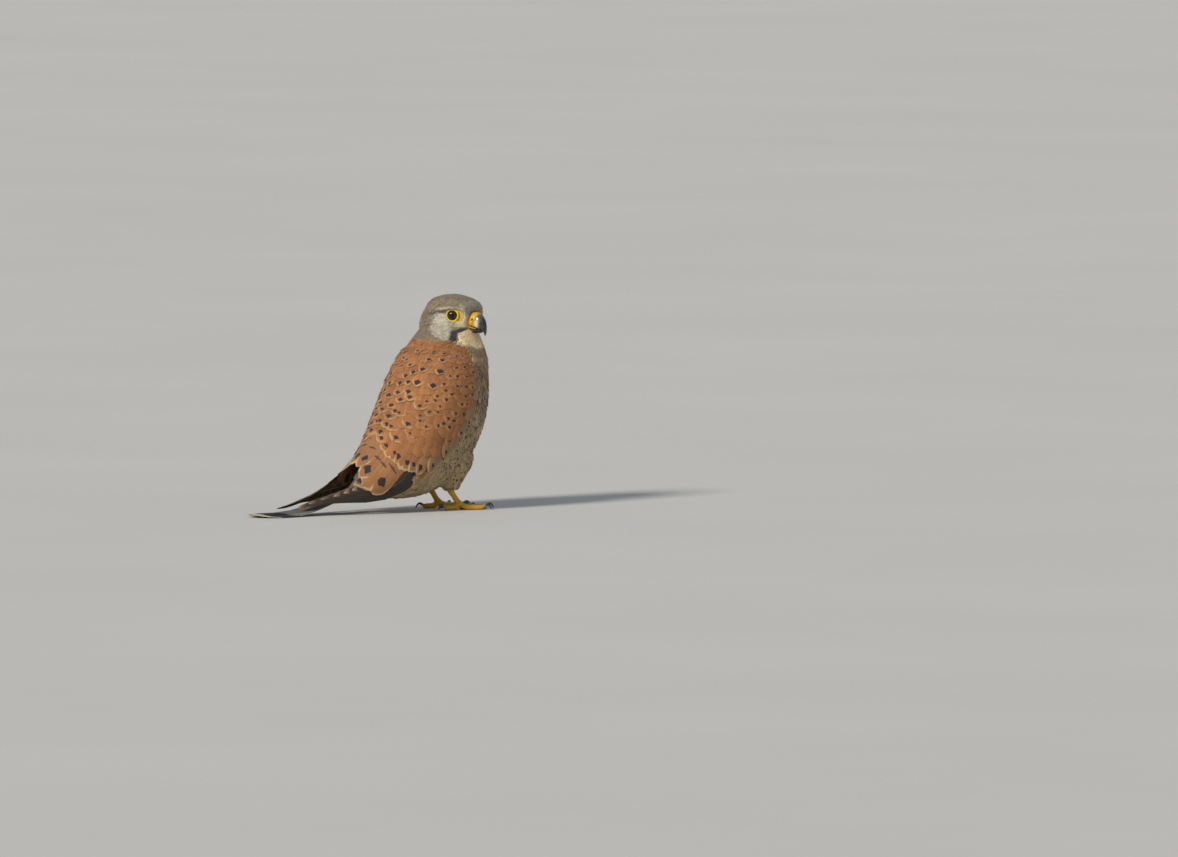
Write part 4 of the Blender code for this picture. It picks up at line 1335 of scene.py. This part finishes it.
def tail_batch(rng):
    """Twelve tail quills: the middle pair on top and the outer ones under it, step by step."""
    rows, swell = np.array(SHAPES["rectrix"], float)
    stations = [150, 175, 200, 225, 247, 265, 272]
    tops = []
    for side, k in itertools.product(SIDES, range(6)):
        tip = TAIL_TIP - 0.6 - (0.0, 0.6, 2.0, 4.2, 7.5, 13.0)[k]
        along = TAIL_ROOT + (tip - TAIL_ROOT) * rows
        spread = np.interp(along, [150, 175, 200, 225, 247, 263, 272],
                           [4.0, 6.4, 10.2, 13.9, 16.6, 16.4, 15.5])
        middle = side * (2.6 + (spread - 2.6) * k / 5)
        half = 17.0 * swell / 2 * (1 - 0.05 * k)
        outer = 0.46 - 0.05 * k
        left = middle[:, None] + side * half[:, None] * np.where(WEB > 0, outer, 1 - outer) * 2 * WEB
        droop = np.interp(along, stations, [1, 1.2, 1, 0.6, 0.2, 0, 0])
        limit = np.interp(along, [150, 175, 200, 225, 247, 272], [11.5, 14.6, 19, 23.4, 26.5, 25])
        sag = -droop[:, None] * np.clip(np.abs(left) / limit[:, None], 0, 1) ** 2
        back = 1.25 - 0.42 * k - (0.06 if side < 0 else 0.0) + sag - 0.18 * WEB**2
        sheet = place(along[:, None] - 2.2 * smooth(rows, 0.9, 1.0)[:, None] * WEB**2, left, back)
        tops.append(sheet[:, ::side])
    uv = vane_map(WEB, rows)
    maps = np.array([uv] * 6 + [uv[:, ::-1]] * 6)
    marks = {"mark": (np.tile([0.1, 0.3, 0.5, 0.6, 0.8, 1.0], 2), rng.random(12), 0.0)}
    return np.array(tops), maps, marks, 0.08, 0.28


def laid_piece(name, batches, finish, slot, *nodes):
    """Batches of vanes, each (tops, uv, marks, patch and, for a shell, its thickness), as one piece."""
    parts = [feather_piece(f"{name}_{number}", *batch, finish=finish) for number, batch in enumerate(batches)]
    settle(join(parts, name), slot, *nodes)


# ---------------------------------------------------------------- bill, eyes and feet

BILL = [  # forward, half width, ridge, cutting edge
    (14.0, 6.7, 6.9, -4.0), (15.5, 6.7, 7.4, -4.2), (19, 6.6, 8.1, -4.3), (23.3, 5.9, 8.1, -4.5),
    (24.6, 5.5, 7.6, -4.5), (27.2, 4.9, 6.2, -4.8), (29.8, 3.9, 3.2, -5.5), (31.8, 2.6, -1.2, -7.2),
    (32.7, 1.4, -5.6, -9.2), (32.4, 0.35, -9.2, -10.6),
]
LOWER_BILL = [  # forward, half width, top, keel
    (13.0, 5.0, -5.3, -9.6), (14.5, 5.2, -5.3, -9.8), (18, 5.0, -5.3, -9.8), (22, 4.6, -5.3, -9.6),
    (26, 3.4, -5.6, -9.0), (28.6, 1.6, -6.3, -8.3), (29.2, 0.4, -6.7, -7.5),
]
GAPE = [(14.4, 12.6, 0.3), (15.6, 11.4, -0.7), (17.0, 10.2, -2.3), (18.3, 8.8, -3.6), (20.2, 6.9, -4.5),
        (22.6, 5.5, -4.9), (25.4, 4.5, -5.2)]  # forward, left, up
NOSTRIL = (21.3, 2.3)  # forward, up


def along_stations(stations, shares):
    """Values at shares of the way through a list of stations, on a smooth curve."""
    return on_curve(stations, np.asarray(shares) * (len(stations) - 1))[0]


def upper_ring(station, swell, count=40):
    """A section of the upper bill: an arch over a flat, slightly hollow palate."""
    forward, half, ridge, edge = station
    side, rise = np.sin(circle(count)), np.cos(circle(count))
    arch = np.sign(side) * np.abs(side) ** 0.86 * (half + swell)
    split = edge + (ridge - edge) * 0.34
    top = split + np.maximum(rise, 0) ** 0.92 * (ridge + swell - split)
    low = split - (1 - (1 - np.clip(-rise, 0, 1)) ** 1.8) * (split - edge + swell * 0.4)
    return np.stack([np.full(count, forward), arch, np.where(rise > 0, top, low)], 1)


def upper_bill():
    """Sections of the upper bill with its tooth, and how pale each point is: the pale patch low on each side
    ahead of the cere is partly the horn's own pale root and partly a painted highlight.
    """
    shares = np.linspace(0.36, 1, 46)
    for share, (forward, half, ridge, edge) in zip(shares, along_stations(BILL, shares)):
        tooth = -0.75 * math.exp(-(((forward - 27.6) / 0.7) ** 2))
        tooth += 0.35 * math.exp(-(((forward - 28.9) / 0.5) ** 2))
        ring = upper_ring((forward, half, ridge, edge + tooth * (1 - smooth(share, 0.86, 0.95))), 0.0)
        # Low on each side just ahead of the cere: the horn's pale root, and a painted highlight.
        pale_and_highlight_side = smooth(ring[:, 2], 3.8, 0.8) * smooth(np.abs(ring[:, 1]), 1.5, 3.2)
        pale_and_highlight_side = pale_and_highlight_side * smooth(ring[:, 2], -5.4, -3.4)
        yield ring, pale_and_highlight_side * smooth(forward, 28.4, 25.4) + 0.12 * smooth(forward, 31.0, 27.0)


def lower_bill():
    """The same of the lower bill."""
    side, rise = np.sin(circle(28)), np.cos(circle(28))
    for forward, half, top, keel in along_stations(LOWER_BILL, np.linspace(0.05, 1, 26)):
        depth = np.where(rise > 0, 0.25 * rise, -np.abs(rise) ** 0.8 * (top - 0.25 - keel))
        yield (np.stack([np.full(28, forward), side * half * 0.94, top - 0.25 + depth], 1),
               np.full(28, 0.55 * smooth(forward, 24, 18)))


def cere():
    """Sections of the cere with its nostrils, and 1 in their hollow, which is painted deep yellow and near
    black as painted shade.
    """
    starts = [station[0] for station in BILL[:7]]
    for forward in np.concatenate([np.linspace(15.4, 18, 8), np.linspace(18.3, 24.8, 42), [24.95, 25.0]]):
        station = along_stations(BILL, np.interp(forward, starts, np.arange(7) / (len(BILL) - 1)))
        station[0] = forward
        ring = upper_ring(station, 0.55 * (0.5 + 0.5 * smooth(forward, 15.5, 17.5)), 64)
        core = upper_ring(station, -0.25, 64)
        front = np.interp(ring[:, 2], [-4.5, -1.5, 2.8, 8], [20.6, 21.9, 24.1, 25.0])
        ring = core + (ring - core) * smooth(forward, front, front - 0.9)[:, None]
        near = np.hypot(ring[:, 0] - NOSTRIL[0], ring[:, 2] - NOSTRIL[1])
        dent = -1.1 * np.exp(-(near / 0.95) ** 4) + 0.75 * np.exp(-(near / 0.36) ** 2)
        dent = dent + 0.22 * np.exp(-((near - 1.45) / 0.4) ** 2)
        ring[:, 1] += np.sign(ring[:, 1]) * dent * (np.abs(ring[:, 1]) > 2)
        yield ring, smooth(near, 1.15, 0.75)


def build_bill():
    for name, sections, node in (
            ("bill_upper_horn", upper_bill(), "bill_upper"), ("bill_lower_horn", lower_bill(), "bill_lower"),
            ("cere_skin", cere(), "cere")):
        rings, values = zip(*sections)
        rings, value = [from_head(ring) for ring in rings], np.concatenate(values)
        if node == "cere":
            # Deep yellow and near black in the nostrils' hollow: painted shade.
            piece = ring_piece(name, rings, "yellow skin", (0.1 + 0.6 * value, 1.0, 0.9 * value))
            settle(piece, "yellow_skin", node)
        else:
            settle(ring_piece(name, rings, "polished horn", (value, 0.0, 0.0), 45), "horn", node)


def build_gape(surface):
    """The bare yellow corners of the mouth."""
    pieces = []
    shares = np.linspace(0, 1, 22)
    for side in SIDES:
        points = from_head(along_stations(GAPE, shares) * (1, side, 1))
        spots, outs = surface.nearest(points)
        hold = smooth(shares, 0.7, 0.5)[:, None]
        points = points * (1 - hold) + (spots + outs * 0.15 * MM) * hold
        thick = np.interp(shares, [0, 0.1, 0.3, 0.6, 0.85, 1], [0.15, 0.35, 0.5, 0.6, 0.5, 0.15]) * MM
        rings = tube_rings(points, unit(np.gradient(points, axis=0)), thick, 12)
        pieces.append(ring_piece("gape", rings, "yellow skin", (0.12, 1.0, 0.0)))
    settle(join(pieces, "gape"), "yellow_skin")


def build_eyes():
    """Each eye is a ball with a low dome in front, patterned by the angle from the way it looks."""
    for side, label in SIDES.items():
        middle, axis = eye_side(side)
        pick()
        bpy.ops.mesh.primitive_uv_sphere_add(segments=64, ring_count=48, radius=EYE_RADIUS * MM)
        eye = bpy.context.active_object
        eye.name = "eyeball_" + label
        mesh = eye.data
        points = read_mesh(mesh) / MM
        angle = np.arccos(np.clip(points[:, 2] / EYE_RADIUS, -1, 1))
        dome = 0.42 * np.clip(1 - (angle / 0.70) ** 2, 0, 1) ** 0.8
        points = points * (1 + dome / EYE_RADIUS)[:, None]
        around = np.arctan2(points[:, 1], points[:, 0])
        turn = np.array(Vector((0, 0, 1)).rotation_difference(Vector(axis)).to_matrix())
        set_points(mesh, from_head(points @ turn.T + middle))
        mesh.materials.clear()
        mesh.materials.append(material("wet eye"))
        give_vector(mesh, "mark", angle, 0.5 + 0.5 * np.sin(around * 34) * np.sin(around * 13 + 1), 0.0)
        mesh.shade_smooth()
        settle(eye, "eye", "eye_" + label)


def toe_line(turn, length, side, shares):
    """The middle line of a toe from the ball of the foot, in metres, and the way it points."""
    heading = math.radians(turn) * side
    forward = FOOT[0] + math.cos(heading) * length * shares
    left = FOOT[1] * side + math.sin(heading) * length * shares
    up = TOE_FLAT + (FOOT[2] - TOE_FLAT) * (1 - smooth(shares, 0, 0.32))
    return world(forward, left, up).T, np.array((math.sin(heading), -math.cos(heading), 0.0))


def build_foot(side):
    """Tarsus and toes in one skin, with plates over the top, pads below and small scales between; the grooves
    and the toes' undersides are painted deeper yellow as shade.
    """
    node = "foot_" + SIDES[side]
    copy = new_object(node, frame["nodes"][node].data.copy(), "yellow skin")
    foot = one_skin([copy], "foot_skin_" + SIDES[side], 0.00042, 10)
    mesh = foot.data
    points, normals = read_mesh(mesh), read_mesh(mesh, "normal")
    lines = [toe_line(turn, length, side, np.linspace(0, 1, 40))[0] for turn, length in TOES.values()]
    ankle, ball = (world(forward, left * side, up) for forward, left, up in (ANKLE, FOOT))
    lines.append(ball + (ankle - ball) * np.linspace(0, 1.1, 40)[:, None])
    gaps = np.stack([np.linalg.norm(points[:, None] - line[None], axis=2) for line in lines])
    own = gaps.min(2).argmin(0)
    steps = (np.linalg.norm(np.diff(line, axis=0), axis=1) for line in lines)
    runs = [np.concatenate([[0], np.cumsum(step)]) / MM for step in steps]
    reach = np.array(runs)[own, gaps[own, np.arange(len(points))].argmin(1)]
    tarsus = own == len(TOES)
    top = np.where(tarsus, smooth(normals @ np.array((0, -1.0, 0.15)), 0.15, 0.5),
                   smooth(normals[:, 2], 0.25, 0.6))
    saw = (reach / np.where(tarsus, 2.6, 2.1)) % 1.0
    plate = 0.16 * smooth(saw, 0.0, 0.14) * (1 - 0.55 * saw) - 0.06
    under = smooth(normals[:, 2], -0.1, -0.6) * ~tarsus
    pads = 0.30 * (0.5 - 0.5 * np.cos(2 * math.pi * reach / 6.5)) * under
    points = points + normals * (plate * top + pads)[:, None] * MM
    points[:, 2] = np.where(points[:, 2] < 0.22 * MM, 0.0, points[:, 2])
    set_points(mesh, points)
    # The grooves between the plates and the toes' undersides take the deep yellow: painted shade.
    groove_shade = np.exp(-((np.minimum(saw, 1 - saw)) / 0.07) ** 2) * top
    give_vector(mesh, "mark", np.clip(0.7 * groove_shade + 0.5 * under, 0, 1), top, 0.0)
    mesh.shade_smooth()
    settle(foot, "yellow_skin", node)


def build_claws():
    """Eight claws, each a tapering tube that arches from its toe down to the floor."""
    pieces = []
    t = np.linspace(-0.06, 1, 26)

    def arch(t):
        """How far ahead of the toe and how high the claw's middle line is."""
        return (0.4 + CLAW_LENGTH * 0.86 * np.sin(t * math.radians(84)),
                2.6 * np.sin(math.pi * np.minimum(1.0, 0.1 + t * 1.1)) - 1.6 * t**2)

    radius = (1.25 * np.maximum(0.0, 1 - np.maximum(t, 0)) ** 0.75 + 0.10) * MM
    pale = np.repeat(0.5 * smooth(t, 0.35, 0.0), 16)
    for side, (turn, length) in itertools.product(SIDES, TOES.values()):
        line, ahead = toe_line(turn, length, side, np.ones(1))
        here, later = (np.outer(reach, ahead) + np.outer(lift, (0, 0, 1))
                       for reach, lift in (arch(t), arch(t + 0.02)))
        rings = tube_rings(line + here * MM, unit(later - here), radius, 16, 0.82)
        rings[..., 2] = np.maximum(rings[..., 2], 0.05 * MM)
        pieces.append(ring_piece("claw", rings, "polished horn", (pale, 0.0, 0.0)))
    nodes = [f"claw_{label}_{toe}" for label in SIDES.values() for toe in TOES]
    settle(join(pieces, "claws"), "horn", *nodes)


# ---------------------------------------------------------------- stage

PICTURE_RIGHT = Vector((-0.5736, -0.8192, 0.0))
CAMERA_AZIMUTH, CAMERA_ELEVATION = 235.0, 3.5
CAMERA_DISTANCE, CAMERA_LENS = 15.0, 521.0  # metres from what it looks at, and millimetres of focal length
TARGET_RIGHT, TARGET_UP = 0.1179, 0.0703  # where it looks, in metres from the floor below the bird
FLOOR_RADIUS, FLOOR_LEVEL = 60.0, -0.0002  # in metres


def on_stage(name, data, way):
    """A lamp or camera that looks back along the way."""
    made = bpy.data.objects.new(name, data)
    bpy.context.scene.collection.objects.link(made)
    made.rotation_euler = way.to_track_quat("Z", "Y").to_euler()
    return made


def build_stage():
    scene = bpy.context.scene
    azimuth, elevation = math.radians(CAMERA_AZIMUTH), math.radians(CAMERA_ELEVATION)
    flat = Vector((math.sin(azimuth), -math.cos(azimuth), 0))
    back = flat * math.cos(elevation) + Vector((0, 0, math.sin(elevation)))
    up = back.cross(PICTURE_RIGHT)
    target = Vector((0, ORIGIN_FORWARD * MM, 0)) + PICTURE_RIGHT * TARGET_RIGHT + up * TARGET_UP
    lens = bpy.data.cameras.new("camera")
    lens.lens, lens.sensor_width, lens.clip_end = CAMERA_LENS, 36.0, 200.0
    scene.camera = on_stage("camera", lens, back)
    scene.camera.location = target + back * CAMERA_DISTANCE

    pick()
    bpy.ops.mesh.primitive_circle_add(vertices=96, radius=FLOOR_RADIUS, fill_type="NGON",
                                      location=(0, 0, FLOOR_LEVEL))
    floor = bpy.context.active_object
    floor.name = "floor"
    sh = Shader("pale floor")
    tone = sh.mix((0.62, 0.61, 0.59, 1), (0.68, 0.67, 0.64, 1), sh.noise(2.0, 4.0))
    finish = {"Base Color": tone, "Roughness": 0.75, "Specular IOR Level": 0.25}
    floor.data.materials.append(sh.finish(finish))

    look = scene.kestrel_stage
    key_way = -PICTURE_RIGHT * 0.64 + flat * 0.74 + Vector((0, 0, 0.62))
    fill_way = PICTURE_RIGHT * 0.9 + flat * 0.8 + Vector((0, 0, 0.5))
    for name, way, softness, strength, warmth in (
            ("key", key_way, 12, look.key_strength, (1, 0.95, 0.87)),
            ("fill", fill_way, 40, look.fill_strength, (0.80, 0.90, 1))):
        data = bpy.data.lights.new(name, "SUN")
        data.angle, data.energy, data.color = math.radians(softness), strength, warmth
        on_stage(name, data, way)
    scene.world = bpy.data.worlds.new("studio")
    scene.world.use_nodes = True
    sky = scene.world.node_tree.nodes["Background"].inputs
    sky["Color"].default_value, sky["Strength"].default_value = (0.80, 0.86, 0.95, 1), look.sky_strength
    scene.view_settings.view_transform = "Standard"


# ---------------------------------------------------------------- the panel's sizes and colours

def a_colour(name, description, *values):
    """A colour of 0 to 255, kept as Blender's linear numbers."""
    shares = (value / 255 for value in values)
    linear = [share / 12.92 if share <= 0.04 else ((share + 0.055) / 1.055) ** 2.4 for share in shares]
    return bpy.props.FloatVectorProperty(name=name, description=description, default=linear, subtype="COLOR",
                                         size=3, min=0, max=1)


def a_size(name, description, value, low, high, unit="NONE"):
    return bpy.props.FloatProperty(name=name, description=description, default=value, min=low, max=high,
                                   unit=unit, precision=4)


class KestrelColours(bpy.types.PropertyGroup):
    rufous: a_colour("Rufous", "Back and wing coverts", 160, 107, 65)
    buff: a_colour("Buff", "Breast, belly and thighs", 174, 150, 112)
    grey: a_colour("Grey", "Crown, nape and rump", 134, 121, 100)
    pale: a_colour("Pale", "Cheek and brow", 192, 186, 166)
    # Cream, laid on the throat and lores, is brighter than their own colour: partly painted light.
    cream: a_colour("Cream", "Throat", 252, 228, 178)
    # The moustache colour also paints the shadow line under the brow.
    dark: a_colour("Moustache", "Moustache and eye stripe", 62, 60, 64)
    spot: a_colour("Spots", "Dark spots of the back and belly", 40, 39, 44)
    streak: a_colour("Streaks", "Dark streaks of crown and breast", 60, 50, 40)
    fringe: a_colour("Fringes", "Pale feather edges", 196, 164, 120)
    quill: a_colour("Quills", "Wing quills", 54, 46, 40)
    quill_warm: a_colour("Warm quills", "Browner wing quills", 96, 72, 52)
    tail: a_colour("Tail", "Tail quills", 110, 110, 112)
    band: a_colour("Tail band", "Black band near the tail's end", 25, 22, 23)
    white: a_colour("White", "Tail tips", 215, 205, 185)
    yellow: a_colour("Yellow skin", "Cere and feet", 215, 165, 40)
    ring: a_colour("Eye ring", "Bare skin round the eyes", 252, 214, 42)
    yellow_deep: a_colour("Deep yellow", "Shaded folds of the yellow skin", 168, 112, 30)
    horn: a_colour("Horn", "Bill and claws", 40, 44, 54)
    # The pale horn also stands in for a painted highlight on the bill's side.
    horn_pale: a_colour("Pale horn", "Root of the bill", 214, 204, 172)


class KestrelSizes(bpy.types.PropertyGroup):
    coat_depth: a_size("Coat depth", "Depth of the body's feathers", 0.0022, 0.0005, 0.005, "LENGTH")
    head_coat_depth: a_size("Head coat depth", "Depth of the head's feathers", 0.0006, 0.0003, 0.003,
                            "LENGTH")
    skin_grain: a_size("Skin grain", "Size of the skin's faces", 0.00105, 0.0008, 0.003, "LENGTH")
    eye_opening: a_size("Eye opening", "Width between the lids, in millimetres", 8.8, 6.0, 11.0)


class KestrelStage(bpy.types.PropertyGroup):
    key_strength: a_size("Key light", "Strength of the key light", 2.9, 0.0, 50.0)
    fill_strength: a_size("Fill light", "Strength of the fill light", 0.04, 0.0, 50.0)
    sky_strength: a_size("Sky", "Strength of the light from all round", 0.34, 0.0, 5.0)


# ---------------------------------------------------------------- operators

class KESTREL_OT_skin(bpy.types.Operator):
    """Make one skin for the head, neck, body, thighs and wings"""
    bl_idname = "kestrel.skin"
    bl_label = "Skin"

    def execute(self, context):
        build_skin()
        return {"FINISHED"}


class KESTREL_OT_eyes(bpy.types.Operator):
    """Make both eyes"""
    bl_idname = "kestrel.eyes"
    bl_label = "Eyes"

    def execute(self, context):
        build_eyes()
        return {"FINISHED"}


class KESTREL_OT_bill(bpy.types.Operator):
    """Make the bill, the cere and the corners of the mouth"""
    bl_idname = "kestrel.bill"
    bl_label = "Bill"

    def execute(self, context):
        build_bill()
        build_gape(Surface(bpy.data.objects["skin"].data))
        return {"FINISHED"}


class KESTREL_OT_feet(bpy.types.Operator):
    """Make the scaled feet and the claws"""
    bl_idname = "kestrel.feet"
    bl_label = "Feet"

    def execute(self, context):
        for side in SIDES:
            build_foot(side)
        build_claws()
        return {"FINISHED"}


class KESTREL_OT_small_feathers(bpy.types.Operator):
    """Grow the small feathers of the head, neck, back, breast and thighs"""
    bl_idname = "kestrel.small_feathers"
    bl_label = "Small Feathers"

    def execute(self, context):
        surface = Surface(bpy.data.objects["skin"].data)
        for number, (name, slot, keep, length_of, dress, more) in enumerate(TRACTS):
            settle(grown_piece(name, surface, keep, length_of, 10 * number + 3, dress, **more), slot)
        return {"FINISHED"}


class KESTREL_OT_wing_feathers(bpy.types.Operator):
    """Lay the coverts, shoulder feathers and quills of both folded wings"""
    bl_idname = "kestrel.wing_feathers"
    bl_label = "Wing Feathers"

    def execute(self, context):
        for side, label in SIDES.items():
            rng = np.random.default_rng(71 + side)
            laid_piece("coverts_" + label, wing_rows(rng, side), "plumage", "rufous")
            laid_piece("quills_" + label, quill_batches(rng, side), "wing quills", "dark_feather",
                       "primaries_" + label)
        return {"FINISHED"}


class KESTREL_OT_tail_feathers(bpy.types.Operator):
    """Lay the twelve tail quills"""
    bl_idname = "kestrel.tail_feathers"
    bl_label = "Tail Feathers"

    def execute(self, context):
        laid_piece("tail_quills", [tail_batch(np.random.default_rng(5))], "tail quills", "tail_grey", "tail")
        return {"FINISHED"}


class KESTREL_OT_stage(bpy.types.Operator):
    """Set the floor, the lights and the camera"""
    bl_idname = "kestrel.stage"
    bl_label = "Stage"

    def execute(self, context):
        build_stage()
        return {"FINISHED"}


OPERATORS = (KESTREL_OT_skin, KESTREL_OT_eyes, KESTREL_OT_bill, KESTREL_OT_feet, KESTREL_OT_small_feathers,
             KESTREL_OT_wing_feathers, KESTREL_OT_tail_feathers, KESTREL_OT_stage)
GROUPS = {"kestrel_colours": KestrelColours, "kestrel_sizes": KestrelSizes, "kestrel_stage": KestrelStage}


class KESTREL_PT_panel(bpy.types.Panel):
    """The kestrel's pieces, sizes and colours"""
    bl_idname = "KESTREL_PT_panel"
    bl_label = "Kestrel"
    bl_space_type = "VIEW_3D"
    bl_region_type = "UI"
    bl_category = "Kestrel"

    def draw(self, context):
        for name, group in GROUPS.items():
            box = self.layout.box()
            for key in group.__annotations__:
                box.prop(getattr(context.scene, name), key)
        for operator in OPERATORS:
            self.layout.operator(operator.bl_idname)


CLASSES = (*GROUPS.values(), *OPERATORS, KESTREL_PT_panel)


def register():
    for made in CLASSES:
        bpy.utils.register_class(made)
    for name, group in GROUPS.items():
        setattr(bpy.types.Scene, name, bpy.props.PointerProperty(type=group))


def unregister():
    for name in GROUPS:
        delattr(bpy.types.Scene, name)
    for made in reversed(CLASSES):
        bpy.utils.unregister_class(made)


def main():
    register()
    bpy.ops.kestrel.skin()
    bpy.ops.kestrel.eyes()
    bpy.ops.kestrel.bill()
    bpy.ops.kestrel.feet()
    bpy.ops.kestrel.small_feathers()
    bpy.ops.kestrel.wing_feathers()
    bpy.ops.kestrel.tail_feathers()
    bpy.ops.kestrel.stage()


if __name__ == "__main__":
    main()
